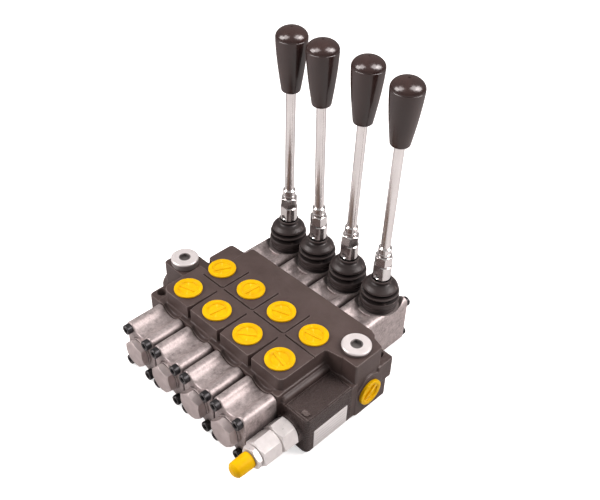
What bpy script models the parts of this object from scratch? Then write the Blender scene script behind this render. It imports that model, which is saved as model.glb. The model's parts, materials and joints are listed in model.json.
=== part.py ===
"""Hydraulic monoblock directional valve with four spools and four hand levers.

Frame: X runs along the row of spools, Y runs along the spools (spring caps in front
at -Y, levers at the back, +Y), Z is up. Left is -X. The origin is under the centre of
the eight work ports, on the mounting face. Lengths are millimetres and are scaled to
metres where the meshes are made.
"""
import math

import bmesh
import bpy
from mathutils import Matrix, Vector

MM = 0.001
GAP = 0.3                       # clearance between neighbouring pieces
OVERRUN = 2.0                   # how far most cutters run past the face they open
SHARP_ANGLE = 32                # degrees; steeper edges are shaded sharp

# ---- driving dimensions shared by several pieces ------------------------------
PITCH = 36.0                    # spool to spool
SECTIONS = [(-1.5 + i) * PITCH for i in range(4)]
PORT_ROWS = (-18.15, 18.15)     # y of the two rows of work ports
TOP_Z = 58.0                    # port plane
SPOOL_Z = 22.5                  # spool axis above the mounting face
FRONT_Y = -37.0                 # spring cap flange
BACK_Y = 56.0                   # lever housing flange
SIDE_X = 100.5                  # face of the right side port
LEFT_PAD_X = -SIDE_X - 2.5      # face of the left side port
SIDE_PORT_RIGHT = (33.7, 21.0)  # y, z
SIDE_PORT_LEFT = (5.0, 21.0)    # y, z
BOSS_LEFT_Z = 54.0              # the left boss stands lower than the port plane
PLUG_LEFT = (-85.6, 3.4)        # x, y of the plugs on top of the bosses
PLUG_RIGHT = (84.6, 33.1)
RELIEF_AXIS = (83.7, 0, 20.8)   # the relief valve lies along Y through this point
RELIEF_FACE_Y = -37.6           # front of its round boss

LOBE_X = 12.15                  # screws and casting lobes, from the spool axis
LOBE_R = 5.0
LOBE_DIP = 0.6                  # depth of the hollow below the screw row
CAP_LOBE_Z = (5.7, 39.6)        # lobe and screw rows of the spring caps
HOUSING_LOBE_Z = (5.7, 42.4)
HOUSING_SCREW_Z = (5.7, 39.8)   # clear of the boot seat
CAP_FRONT_Y = -69.0
HOUSING_BACK_Y = 114.0

SCREW_R = 2.5                   # M5 socket head screws
SCREW_HOLE_R = 2.85
SCREW_HEAD_R = 4.25
SCREW_HEAD_H = 5.0
SCREW_SIDES = 6
SCREW_ROW_END = SECTIONS[-1] + LOBE_X
TIE_FRONT_Y = (-29.6, -28.4)    # thin hidden strips that hold the screws as one group
TIE_BACK_Y = (46.4, 47.6)
TIE_HALF = 1.0
TIE_SLOT_HALF = TIE_HALF + GAP

PIVOT_Y = 96.0                  # lever pivot
PIVOT_Z = 42.7


# ---- scene and materials ------------------------------------------------------
for old in list(bpy.data.objects):
    bpy.data.objects.remove(old, do_unlink=True)


def material(name, colour, roughness, metallic=0.0):
    mat = bpy.data.materials.new(name)
    mat.use_nodes = True
    shader = mat.node_tree.nodes["Principled BSDF"]
    shader.inputs["Base Color"].default_value = (*colour, 1.0)
    shader.inputs["Roughness"].default_value = roughness
    shader.inputs["Metallic"].default_value = metallic
    mat.diffuse_color = (*colour, 1.0)
    return mat


BODY_PAINT = material("body_paint", colour=(0.075, 0.060, 0.055), roughness=0.55)
YELLOW = material("yellow_plastic", colour=(0.95, 0.62, 0.02), roughness=0.40)
DIE_CAST = material("die_cast_metal", colour=(0.62, 0.58, 0.55), roughness=0.42, metallic=0.85)
ZINC = material("zinc_steel", colour=(0.75, 0.75, 0.74), roughness=0.28, metallic=1.0)
GROUND = material("ground_steel", colour=(0.62, 0.62, 0.62), roughness=0.22, metallic=1.0)
BLACK_OXIDE = material("black_oxide", colour=(0.035, 0.035, 0.037), roughness=0.45, metallic=0.6)
RUBBER = material("black_rubber", colour=(0.020, 0.019, 0.019), roughness=0.60)
CHROME = material("chrome", colour=(0.80, 0.79, 0.78), roughness=0.12, metallic=1.0)
KNOB_PLASTIC = material("knob_plastic", colour=(0.035, 0.020, 0.018), roughness=0.20)
SPRING_STEEL = material("spring_steel", colour=(0.45, 0.45, 0.46), roughness=0.35, metallic=1.0)


# ---- outlines and profiles ----------------------------------------------------
def arc(centre_x, centre_y, radius, start, end, steps):
    """Points on a circle from start to end degrees, both included."""
    angles = [math.radians(start + (end - start) * i / steps) for i in range(steps + 1)]
    return [(centre_x + radius * math.cos(angle), centre_y + radius * math.sin(angle))
            for angle in angles]


def rounded(corners, steps=2):
    """A polygon whose corners (a, b, radius) are rounded; radius 0 stays sharp."""
    points = []
    for i, (x, y, radius) in enumerate(corners):
        if radius <= 0:
            points.append((x, y))
            continue
        corner = Vector((x, y))
        before = (Vector(corners[i - 1][:2]) - corner).normalized()
        after = (Vector(corners[(i + 1) % len(corners)][:2]) - corner).normalized()
        half = math.acos(max(-1.0, min(1.0, before.dot(after)))) / 2
        centre = corner + (before + after).normalized() * (radius / math.sin(half))
        start = corner + before * (radius / math.tan(half)) - centre
        end = corner + after * (radius / math.tan(half)) - centre
        start_angle = math.atan2(start.y, start.x)
        sweep = math.atan2(end.y, end.x) - start_angle
        sweep = (sweep + math.pi) % (2 * math.pi) - math.pi
        for k in range(steps + 1):
            angle = start_angle + sweep * k / steps
            points.append((centre.x + radius * math.cos(angle),
                           centre.y + radius * math.sin(angle)))
    return points


def hexagon(across_flats, turn, centre):
    """A hexagon about centre, its first corner at turn degrees."""
    radius = across_flats / math.sqrt(3)
    return [(centre[0] + radius * math.cos(math.radians(60 * k + turn)),
             centre[1] + radius * math.sin(math.radians(60 * k + turn))) for k in range(6)]


def dome(radius, rise, z, angles):
    """Profile points on an ellipse about height z, at the given degrees."""
    return [(radius * math.cos(math.radians(angle)), z + rise * math.sin(math.radians(angle)))
            for angle in angles]


def lobed(x, z_low, z_high):
    """Outline in (x, z) of a four-lobed casting: round corners at the screws and a
    concave top and bottom between them."""
    middle = (z_low + z_high) / 2
    half = (z_high - z_low) / 2
    # the hollow circle is tangent to both lobes, which fixes its radius
    hollow = (LOBE_X ** 2 + LOBE_DIP ** 2 - LOBE_R ** 2) / (2 * (LOBE_R + LOBE_DIP))
    hollow_z = half - LOBE_DIP + hollow
    touch = math.degrees(math.atan2(hollow_z - half, -LOBE_X))
    swing = math.degrees(math.asin(LOBE_X / (hollow + LOBE_R)))
    top = arc(LOBE_X, half, LOBE_R, 0, touch, 3)
    top += arc(0, hollow_z, hollow, -90 + swing, -90, 2)[1:]
    top += [(-across, up) for across, up in reversed(top[:-1])]
    ring = top + [(-across, -up) for across, up in top]
    return [(x + across, middle + up) for across, up in ring]


def lobe_places(x):
    """The two screw positions beside a spool axis."""
    return (x - LOBE_X, x + LOBE_X)


# ---- solids -------------------------------------------------------------------
def prism(points, low, high, axis="Z"):
    """A polygon extruded along an axis: (x, y) for Z, (x, z) for Y, (y, z) for X."""
    shape = bmesh.new()

    def corners(along):
        places = [{"Z": (a, b, along), "Y": (a, along, b), "X": (along, a, b)}[axis]
                  for a, b in points]
        return [shape.verts.new([value * MM for value in place]) for place in places]

    lower = corners(low)
    upper = corners(high)
    shape.faces.new(lower)
    shape.faces.new(upper)
    for i in range(len(points)):
        j = (i + 1) % len(points)
        shape.faces.new((lower[i], lower[j], upper[j], upper[i]))
    return shape


def box(x_low, x_high, y_low, y_high, z_low, z_high):
    outline = [(x_low, y_low), (x_high, y_low), (x_high, y_high), (x_low, y_high)]
    return prism(outline, z_low, z_high)


def turned(profile, centre, axis, steps, turn=0.0):
    """A closed profile of (radius, height) spun about an axis through centre."""
    shape = bmesh.new()
    rings = []
    for radius, height in profile:
        ring = []
        for k in range(steps if radius > 1e-6 else 1):
            angle = 2 * math.pi * k / steps + math.radians(turn)
            a, b = radius * math.cos(angle), radius * math.sin(angle)
            local = {"Z": (a, b, height), "Y": (a, height, b), "X": (height, a, b)}[axis]
            ring.append(shape.verts.new([(local[i] + centre[i]) * MM for i in range(3)]))
        rings.append(ring)
    for near, far in zip(rings, rings[1:] + rings[:1]):
        if len(near) == 1 and len(far) == 1:
            continue
        for k in range(steps):
            m = (k + 1) % steps
            if len(near) == 1:
                shape.faces.new((near[0], far[k], far[m]))
            elif len(far) == 1:
                shape.faces.new((near[k], near[m], far[0]))
            else:
                shape.faces.new((near[k], near[m], far[m], far[k]))
    return shape


def cylinder(radius, low, high, centre, axis, steps, turn=0.0):
    profile = [(0, low), (radius, low), (radius, high), (0, high)]
    return turned(profile, centre, axis, steps, turn)


# ---- objects ------------------------------------------------------------------
def new_object(name, shape):
    bmesh.ops.recalc_face_normals(shape, faces=shape.faces)
    mesh = bpy.data.meshes.new(name)
    shape.to_mesh(mesh)
    shape.free()
    obj = bpy.data.objects.new(name, mesh)
    bpy.context.scene.collection.objects.link(obj)
    return obj


def combine(obj, tools, operation):
    """Applies a boolean of obj with each tool in turn; the tools are removed."""
    for shape in tools:
        tool = new_object("tool", shape)
        modifier = obj.modifiers.new("cut", "BOOLEAN")
        modifier.operation = operation
        modifier.solver = "EXACT"
        modifier.object = tool
        bpy.context.view_layer.update()
        graph = bpy.context.evaluated_depsgraph_get()
        mesh = bpy.data.meshes.new_from_object(obj.evaluated_get(graph))
        mesh.name = obj.name
        obj.modifiers.clear()
        obj.data = mesh
        bpy.data.objects.remove(tool, do_unlink=True)


def finish(obj, mat):
    """Cleans and triangulates the mesh, then sets its material and shading."""
    mesh = obj.data
    shape = bmesh.new()
    shape.from_mesh(mesh)
    bmesh.ops.remove_doubles(shape, verts=shape.verts, dist=2e-6)
    bmesh.ops.dissolve_limit(shape, angle_limit=math.radians(0.5),
                             verts=shape.verts, edges=shape.edges)
    bmesh.ops.triangulate(shape, faces=shape.faces)
    shape.to_mesh(mesh)
    shape.free()
    mesh.materials.clear()
    mesh.materials.append(mat)
    mesh.shade_smooth()
    mesh.set_sharp_from_angle(angle=math.radians(SHARP_ANGLE))


def make(name, shape, mat, joined=(), cuts=()):
    """A finished object: a base shape, shapes joined to it, then shapes cut away."""
    obj = new_object(name, shape)
    combine(obj, joined, "UNION")
    combine(obj, cuts, "DIFFERENCE")
    finish(obj, mat)
    return obj


def origin_at(obj, point):
    """Moves the object's origin, leaving its shape where it is."""
    place = Vector(point) * MM
    obj.data.transform(Matrix.Translation(-place))
    obj.location = place


def empty(name, point):
    node = bpy.data.objects.new(name, None)
    node.empty_display_size = 0.01
    bpy.context.scene.collection.objects.link(node)
    node.location = Vector(point) * MM
    return node


def hang(obj, parent):
    """Parents obj to an empty without moving it."""
    obj.location = obj.location - parent.location
    obj.parent = parent


# ---- valve body ---------------------------------------------------------------
# Outlines seen from above. Columns: x, y, corner radius.
CORE_X = (SECTIONS[0] - PITCH / 2, SECTIONS[-1] + 17.4)
CORE_TOP_Z = 45.6
CORE_OUTLINE = [(CORE_X[0], FRONT_Y, 2), (CORE_X[1], FRONT_Y, 2),
                (CORE_X[1], BACK_Y, 2), (CORE_X[0], BACK_Y, 2)]
PLATEAU_BASE_Z = 20
PLATEAU_OUTLINE = [(-70.2, -32.5, 7), (70.0, -32.5, 5), (70.0, 14.5, 3), (84, 17, 0),
                   (87.2, 52.8, 3), (80.6, 55.8, 2), (-57.2, 55.8, 3), (-58.2, 8, 0),
                   (-70.2, 8, 0)]
SHOULDER_Z = (3, TOP_Z - 0.4)
SHOULDER_OUTLINE = [(-56, 47.2, 0), (-74.3, 46.3, 3), (-74.0, 19, 3), (-56, 19, 0)]
BOSS_BASE_Z = 1.2
BOSS_LEFT_OUTLINE = [(-60, 18.2, 0), (-99.5, 18.2, 4), (-99.5, -8.6, 2.5), (-60, -8.6, 0)]
BOSS_RIGHT_OUTLINE = [(66, 17.4, 0), (99.4, 17.9, 1.5), (99.4, 47.8, 3.0), (86, 51.5, 0),
                      (66, 51, 0)]
RELIEF_BLOCK_BASE_Z = 2.8
RELIEF_BLOCK_OUTLINE = [(68, -34, 0), (99.7, -34, 4.2), (99.7, 20, 0), (68, 20, 0)]

# Side port pads seen along X. Columns: y, z, corner radius.
PAD_INNER_X = 90                # both pads start this far from the centre
PAD_RIGHT_OUTLINE = [(19.2, 1.6, 2), (48, 1.6, 2), (48, 32, 10), (38, 38.2, 10),
                     (29, 38.2, 8), (19.2, 27, 8)]
PAD_LEFT_OUTLINE = [(-10.3, 1.6, 3), (20.3, 1.6, 3), (20.3, 38, 12), (-10.3, 38, 12)]

# Rounded ridge on top of the core, beside the relief block. Columns: radius, y.
RIDGE_AXIS = (71.2, 0, 38.4)
RIDGE_PROFILE = [(0, -33), (4.4, -31), (4.8, 18), (0, 18)]

# Mounting lugs, front left and back right. The right one has an upper and a lower part.
LUG_HOLE_R = 4.5
LUG_TOP_Z = 38.5
LUG_LEFT = (-85.1, -23.5)       # x, y of the hole
LUG_RIGHT = (89.6, 55.0)
LUG_LEFT_EDGES = (LUG_LEFT[0] - 5.4, LUG_LEFT[1] - 9.1)     # left and front edge
LUG_LEFT_OUTLINE = [(*LUG_LEFT_EDGES, 3), (-69, LUG_LEFT_EDGES[1], 0), (-69, -2, 0),
                    (LUG_LEFT_EDGES[0], -2, 0)]
LUG_RIGHT_EDGE = LUG_RIGHT[0] - 12                          # left edge
LUG_UPPER_OUTLINE = [(LUG_RIGHT_EDGE, 44, 0), (100.6, 44, 0), (100.6, 61.8, 2.4),
                     (LUG_RIGHT[0] - 9, 61.8, 3)]
LUG_LOWER_OUTLINE = [(LUG_RIGHT_EDGE, 40, 0), (99.6, 40, 0), (99.6, 57.6, 3),
                     (LUG_RIGHT_EDGE, 57.6, 0)]

# Scallops in the top edge of the front flange, one per spool
SCALLOP_R = 13.4
SCALLOP_BACK_Y = -33.4
SCALLOP_Z = 53.6

# Grooves between the front ports, widening to the front. Columns: half width, y.
SHALLOW_GROOVE = [(0.7, -3), (1.1, -28), (2.6, -35)]
SHALLOW_GROOVE_Z = (53.0, TOP_Z + 2)
DEEP_GROOVE = [(0.6, -22), (2.2, -34.5)]
DEEP_GROOVE_Z = (45.7, TOP_Z + 1)

# L-shaped grooves in front of and to the right of the rear ports
L_GROOVE_STARTS = (-59.4, -33.5, 2.5)   # left ends, one per section but the last
L_GROOVE_LEG = (17.3, 18.7)             # inner and outer edge from the section's centre
L_GROOVE_Y = (2.2, 3.6)
L_GROOVE_BACK_Y = 31.4
LAST_GROOVE_X = (38.5, 75)              # the last section's groove is straight
L_GROOVE_FLOOR_Z = 56.2

# Ports and bores
PORT_R = 9.5                    # G1/2 port wall
PORT_STEPS = 14
PORT_FLOOR_Z = 38
PASSAGE_R = 5.0                 # passage from the port floor to the spool
PASSAGE_END_Z = 22
SIDE_PORT_FLOOR_X = 80          # rim of the floor, which rises to a shallow cone
SIDE_PORT_TIP_X = 78
SPOOL_BORE_R = 8.35 + 0.2
PLUG_BORE_R = 8.6
PLUG_BORE_FLOOR_Z = 30
# Relief valve cavity. Columns: radius, y.
RELIEF_CAVITY = [(0, -42), (10.4, -42), (10.4, -14), (4.0, -12), (4.0, 4), (0, 4)]


def rear_parts_of_body():
    """The blocks that join onto the core, in the order they are joined."""
    return [
        prism(rounded(PLATEAU_OUTLINE), PLATEAU_BASE_Z, TOP_Z),
        prism(rounded(SHOULDER_OUTLINE), *SHOULDER_Z),
        prism(rounded(BOSS_LEFT_OUTLINE), BOSS_BASE_Z, BOSS_LEFT_Z),
        prism(rounded(BOSS_RIGHT_OUTLINE), BOSS_BASE_Z, TOP_Z),
        prism(rounded(PAD_RIGHT_OUTLINE), PAD_INNER_X, SIDE_X, "X"),
        prism(rounded(PAD_LEFT_OUTLINE), LEFT_PAD_X, -PAD_INNER_X, "X"),
        prism(rounded(RELIEF_BLOCK_OUTLINE), RELIEF_BLOCK_BASE_Z, LUG_TOP_Z),
        turned(RIDGE_PROFILE, RIDGE_AXIS, "Y", 12),
        cylinder(12.2, RELIEF_FACE_Y, -30, RELIEF_AXIS, "Y", 18),
        prism(rounded(LUG_LEFT_OUTLINE, steps=4), 0, LUG_TOP_Z - 1.0),
        prism(rounded(LUG_UPPER_OUTLINE), 19, LUG_TOP_Z + 0.4),
        prism(rounded(LUG_LOWER_OUTLINE), 0, 26),
    ]


def groove_outline(x, stations):
    """Outline of a groove symmetric about x."""
    right = [(x + half, y) for half, y in stations]
    left = [(x - half, y) for half, y in stations]
    return left[:1] + right + left[:0:-1]


def groove_cutters():
    cuts = []
    for x in (-PITCH, 0.0, PITCH):
        cuts.append(prism(groove_outline(x, SHALLOW_GROOVE), *SHALLOW_GROOVE_Z))
        cuts.append(prism(groove_outline(x, DEEP_GROOVE), *DEEP_GROOVE_Z))
    inner, outer = L_GROOVE_LEG
    front, back = L_GROOVE_Y
    for x, start in zip(SECTIONS, L_GROOVE_STARTS):
        outline = rounded([(start, front, 0), (x + outer, front, 4.0),
                           (x + outer, L_GROOVE_BACK_Y, 0), (x + inner, L_GROOVE_BACK_Y, 0),
                           (x + inner, back, 2.6), (start, back, 0)])
        cuts.append(prism(outline, L_GROOVE_FLOOR_Z, TOP_Z + OVERRUN))
    cuts.append(box(*LAST_GROOVE_X, *L_GROOVE_Y, L_GROOVE_FLOOR_Z, TOP_Z + OVERRUN))
    return cuts


def bore_cutters():
    """Work ports, spool bores, plug bores, side ports, relief cavity and lug holes."""
    cuts = []
    work_port = [(0, PASSAGE_END_Z), (PASSAGE_R, PASSAGE_END_Z), (PASSAGE_R, PORT_FLOOR_Z),
                 (PORT_R, PORT_FLOOR_Z), (PORT_R, TOP_Z + OVERRUN), (0, TOP_Z + OVERRUN)]
    for x in SECTIONS:
        for y in PORT_ROWS:
            cuts.append(turned(work_port, (x, y, 0), "Z", PORT_STEPS))
        cuts.append(cylinder(SPOOL_BORE_R, FRONT_Y - OVERRUN, BACK_Y + OVERRUN,
                             (x, 0, SPOOL_Z), "Y", 14))
    for x, y in (PLUG_LEFT, PLUG_RIGHT):
        cuts.append(cylinder(PLUG_BORE_R, PLUG_BORE_FLOOR_Z, TOP_Z + OVERRUN, (x, y, 0), "Z", 12))
    right_end = SIDE_X + 3
    cuts.append(turned([(0, SIDE_PORT_TIP_X), (PORT_R, SIDE_PORT_FLOOR_X),
                        (PORT_R, right_end), (0, right_end)],
                       (0, *SIDE_PORT_RIGHT), "X", PORT_STEPS))
    left_end = -SIDE_X - 6
    cuts.append(turned([(0, left_end), (PORT_R, left_end),
                        (PORT_R, -SIDE_PORT_FLOOR_X), (0, -SIDE_PORT_TIP_X)],
                       (0, *SIDE_PORT_LEFT), "X", PORT_STEPS))
    cuts.append(turned(RELIEF_CAVITY, RELIEF_AXIS, "Y", 14))
    for x, y in (LUG_LEFT, LUG_RIGHT):
        cuts.append(cylinder(LUG_HOLE_R, -OVERRUN, 45, (x, y, 0), "Z", 10))
    return cuts


def screw_cutters():
    """Screw holes, and the slots for the strips that join the screws."""
    cuts = []
    for x in SECTIONS:
        for screw_x in lobe_places(x):
            for z in CAP_LOBE_Z:
                cuts.append(cylinder(SCREW_HOLE_R, FRONT_Y - OVERRUN, TIE_FRONT_Y[1] + GAP,
                                     (screw_x, 0, z), "Y", SCREW_SIDES))
            for z in HOUSING_SCREW_Z:
                cuts.append(cylinder(SCREW_HOLE_R, TIE_BACK_Y[0] - GAP, BACK_Y + OVERRUN,
                                     (screw_x, 0, z), "Y", SCREW_SIDES))
    half = TIE_SLOT_HALF
    end = SCREW_ROW_END + half
    for (front, back), levels in ((TIE_FRONT_Y, CAP_LOBE_Z), (TIE_BACK_Y, HOUSING_SCREW_Z)):
        for z in levels:
            cuts.append(box(-end, end, front - GAP, back + GAP, z - half, z + half))
        cuts.append(box(-half, half, front - GAP, back + GAP, *levels))
    low = CAP_LOBE_Z[0]
    cuts.append(box(-half, half, TIE_FRONT_Y[1], TIE_BACK_Y[0], low - half, low + half))
    return cuts


def valve_body():
    scallops = [cylinder(SCALLOP_R, FRONT_Y - OVERRUN, SCALLOP_BACK_Y, (x, 0, SCALLOP_Z),
                         "Y", 20, turn=9) for x in SECTIONS]
    make("valve_body", prism(rounded(CORE_OUTLINE), 0, CORE_TOP_Z), BODY_PAINT,
         joined=rear_parts_of_body(),
         cuts=scallops + groove_cutters() + bore_cutters() + screw_cutters())


# ---- plugs --------------------------------------------------------------------
PLUG_FLANGE_R = 11.7
PLUG_FLANGE_H = 1.8
SIDE_PLUG_FLANGE_R = 11.3
SIDE_PLUG_FLANGE_H = 2.8
PORT_STEM_R = 8.8
PORT_STEM_DEPTH = 9.5
RECESS_R = 7.4                  # shallow recess in the flange
RECESS_DEPTH = 0.9
CORNER_STEM_R = 8.0
CORNER_STEM_DEPTH = 14
CORNER_CHAMFER = 0.6
CORNER_PLUG_TOPS = (61.0, 62.0)     # z of the left and right plug
PLUG_SOCKET_AF = 8.0
PLUG_SOCKET_DEPTH = 5


def port_plug(name, centre, axis, outward, flange_r=PLUG_FLANGE_R, flange_h=PLUG_FLANGE_H):
    """Plastic plug: a stem and a flange with a raised rim. Outward is 1 or -1."""
    recess = flange_h - RECESS_DEPTH
    profile = [(0, -PORT_STEM_DEPTH), (PORT_STEM_R, -PORT_STEM_DEPTH), (PORT_STEM_R, GAP),
               (flange_r, GAP), (flange_r, flange_h), (RECESS_R, flange_h),
               (RECESS_R, recess), (0, recess)]
    profile = [(radius, outward * height) for radius, height in profile]
    make(name, turned(profile, centre, axis, PORT_STEPS), YELLOW)


def port_plugs():
    for row, y in zip("ab", PORT_ROWS):
        for number, x in enumerate(SECTIONS, 1):
            port_plug(f"port_plug_{row}{number}", (x, y, TOP_Z), "Z", 1)
    flange = (SIDE_PLUG_FLANGE_R, SIDE_PLUG_FLANGE_H)
    port_plug("side_port_plug_right", (SIDE_X, *SIDE_PORT_RIGHT), "X", 1, *flange)
    port_plug("side_port_plug_left", (LEFT_PAD_X, *SIDE_PORT_LEFT), "X", -1, *flange)


def corner_plug(name, place, seat, top):
    """Zinc plated steel plug with a hexagon socket."""
    profile = [(0, seat - CORNER_STEM_DEPTH), (CORNER_STEM_R, seat - CORNER_STEM_DEPTH),
               (CORNER_STEM_R, seat + GAP), (PLUG_FLANGE_R, seat + GAP),
               (PLUG_FLANGE_R, top - CORNER_CHAMFER), (PLUG_FLANGE_R - CORNER_CHAMFER, top),
               (0, top)]
    socket = prism(hexagon(PLUG_SOCKET_AF, 20, place), top - PLUG_SOCKET_DEPTH, top + OVERRUN)
    make(name, turned(profile, (*place, 0), "Z", 18), ZINC, cuts=[socket])


# ---- relief valve -------------------------------------------------------------
RELIEF_HEX_AF = 22.0            # hexagon against the body
RELIEF_HEX_FRONT_Y = -52.0
ADJUSTER_AF = 20.0              # hexagon in front of it, beyond a round neck
ADJUSTER_Y = (-70.4, -52.8)
LOCK_NUT_AF = 17.0
LOCK_NUT_Y = (-75.4, ADJUSTER_Y[0] - GAP)
ADJUSTING_SCREW_R = 4.0
ADJUSTING_SCREW_Y = (-86.5, -50)
ADJUSTING_HOLE_R = 4.5
POPPET_ORIGIN_Y = -27
# Profiles about the relief axis. Columns: radius, y.
CARTRIDGE_BORE = [(0, -55), (5.2, -54), (5.2, -17), (3.4, -15.2), (3.4, -10), (0, -10)]
RELIEF_CAP_PROFILE = [(0, -92.6), (4.6, -91.6), (6.4, -88.4), (6.7, -75.7), (4.6, -75.7),
                      (4.6, -88.6), (0, -88.6)]
POPPET_PROFILE = [(0, -17.6), (2.2, -18.2), (4.8, -21.0), (4.8, -27.0), (2.2, -27.0),
                  (2.2, -30.0), (0, -30.0)]


def relief_hexagon(across_flats, turn, front, back):
    outline = hexagon(across_flats, turn, (RELIEF_AXIS[0], RELIEF_AXIS[2]))
    return prism(outline, front, back, "Y")


def relief_cylinder(radius, front, back, steps=12):
    return cylinder(radius, front, back, RELIEF_AXIS, "Y", steps)


def relief_cartridge():
    make("relief_cartridge",
         relief_hexagon(RELIEF_HEX_AF, 51, RELIEF_HEX_FRONT_Y, RELIEF_FACE_Y - GAP), ZINC,
         joined=[relief_cylinder(10.0, RELIEF_FACE_Y - 2, -16, steps=14),   # stem in the body
                 relief_cylinder(9.2, -54, -50, steps=14),                  # neck
                 relief_hexagon(ADJUSTER_AF, 42, *ADJUSTER_Y)],
         cuts=[turned(CARTRIDGE_BORE, RELIEF_AXIS, "Y", 12),
               relief_cylinder(ADJUSTING_HOLE_R, -74, -53)])


def relief_lock_nut():
    make("relief_lock_nut", relief_hexagon(LOCK_NUT_AF, 80, *LOCK_NUT_Y), ZINC,
         cuts=[relief_cylinder(ADJUSTING_HOLE_R, -80, -70)])


def relief_poppet():
    poppet = make("relief_poppet", turned(POPPET_PROFILE, RELIEF_AXIS, "Y", 12), GROUND)
    origin_at(poppet, (RELIEF_AXIS[0], POPPET_ORIGIN_Y, RELIEF_AXIS[2]))


def relief_valve():
    relief_cartridge()
    relief_lock_nut()
    make("relief_adjusting_screw", relief_cylinder(ADJUSTING_SCREW_R, *ADJUSTING_SCREW_Y),
         BLACK_OXIDE)
    make("relief_cap", turned(RELIEF_CAP_PROFILE, RELIEF_AXIS, "Y", 14), YELLOW)
    relief_poppet()
    coil("relief_spring", RELIEF_AXIS, mean_r=3.6, wire_r=0.75, front=-49.2, back=-28.0, turns=5)


# ---- springs ------------------------------------------------------------------
COIL_STEPS = 7                  # rings per turn
WIRE_SIDES = 3


def coil(name, centre, mean_r, wire_r, front, back, turns):
    """A helical spring along Y whose wire ends are closed."""
    shape = bmesh.new()
    steps = turns * COIL_STEPS
    rings = []
    for k in range(steps + 1):
        angle = 2 * math.pi * k / COIL_STEPS
        y = front + wire_r + (back - front - 2 * wire_r) * k / steps
        outward = Vector((math.cos(angle), 0, math.sin(angle)))
        ring = []
        for m in range(WIRE_SIDES):
            around = 2 * math.pi * (m + 0.5) / WIRE_SIDES
            point = (outward * (mean_r + wire_r * math.cos(around))
                     + Vector((0, y + wire_r * math.sin(around), 0)))
            ring.append(shape.verts.new((point + Vector((centre[0], 0, centre[2]))) * MM))
        rings.append(ring)
    for near, far in zip(rings, rings[1:]):
        for m in range(WIRE_SIDES):
            n = (m + 1) % WIRE_SIDES
            shape.faces.new((near[m], near[n], far[n], far[m]))
    shape.faces.new(rings[0])
    shape.faces.new(rings[-1])
    make(name, shape, SPRING_STEEL)


# ---- spring caps, end plugs, spools, screws -----------------------------------
CAP_COLLAR_R = 12.2             # round collar on the front of the cap
CAP_COLLAR_Y = CAP_FRONT_Y - 1.6
CAP_CAVITY_R = 11.0
CAP_CAVITY_Y = (-63, -30)
CAP_HOLE_R = 8.6                # end plug hole
END_PLUG_AF = 22.0
END_PLUG_STEM_R = 8.0
END_PLUG_STEM_BACK_Y = -60.4
END_PLUG_FACE_Y = (-76.2, -77.2, -77.6, -77.6)
END_PLUG_TURNS = (-16, -12, -20, -16)   # degrees

SPOOL_R = 8.0
SPOOL_STEM_R = 3.5              # thin front end, inside the centering spring
SPOOL_STEM_Y = (-53.5, -32.5)
SPOOL_GROOVES_Y = (-18.0, 18.0)
SPOOL_GROOVE_DEPTH = 2.6
SPOOL_GROOVE_HALF = (5.0, 3.4)  # half width at the rim and at the floor
SPOOL_TAIL_R = 6.5
SPOOL_TAIL_Y = (61.0, 104.0)
POCKET_TOP_Z = 32               # above the spool, so the lever pocket is open


def spring_cap(name, x):
    axis_point = (x, 0, SPOOL_Z)
    cuts = [cylinder(CAP_CAVITY_R, *CAP_CAVITY_Y, axis_point, "Y", 14),
            cylinder(CAP_HOLE_R, -75, -60, axis_point, "Y", 14)]
    for screw_x in lobe_places(x):
        for z in CAP_LOBE_Z:
            cuts.append(cylinder(SCREW_HOLE_R + 0.2, -75, -30, (screw_x, 0, z), "Y", SCREW_SIDES))
    make(name, prism(lobed(x, *CAP_LOBE_Z), CAP_FRONT_Y, FRONT_Y - GAP, "Y"), DIE_CAST,
         joined=[cylinder(CAP_COLLAR_R, CAP_COLLAR_Y, CAP_FRONT_Y + 4, axis_point, "Y", 16)],
         cuts=cuts)


def end_plug(name, x, face, turn):
    head = prism(hexagon(END_PLUG_AF, turn, (x, SPOOL_Z)), face, CAP_COLLAR_Y - GAP, "Y")
    stem = cylinder(END_PLUG_STEM_R, face + 3, END_PLUG_STEM_BACK_Y, (x, 0, SPOOL_Z), "Y", 12)
    make(name, head, DIE_CAST, joined=[stem])


def spool(name, x, parent):
    """Spool with two grooves and, near the back, a stepped pocket for the lever's ball."""
    front, shoulder = SPOOL_STEM_Y
    profile = [(0, front), (SPOOL_STEM_R, front), (SPOOL_STEM_R, shoulder), (SPOOL_R, shoulder)]
    rim, floor = SPOOL_GROOVE_HALF
    floor_r = SPOOL_R - SPOOL_GROOVE_DEPTH
    for y in SPOOL_GROOVES_Y:
        profile += [(SPOOL_R, y - rim), (floor_r, y - floor),
                    (floor_r, y + floor), (SPOOL_R, y + rim)]
    tail, end = SPOOL_TAIL_Y
    profile += [(SPOOL_R, tail - 1.0), (SPOOL_TAIL_R, tail), (SPOOL_TAIL_R, end), (0, end)]
    cuts = [box(x - 4.4, x + 4.4, PIVOT_Y - half, PIVOT_Y + half, floor_z, POCKET_TOP_Z)
            for half, floor_z in ((4.4, 17.9), (6.2, 24.6))]
    obj = make(name, turned(profile, (x, 0, SPOOL_Z), "Y", 12), GROUND, cuts=cuts)
    origin_at(obj, (x, 0, SPOOL_Z))
    hang(obj, parent)


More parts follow.
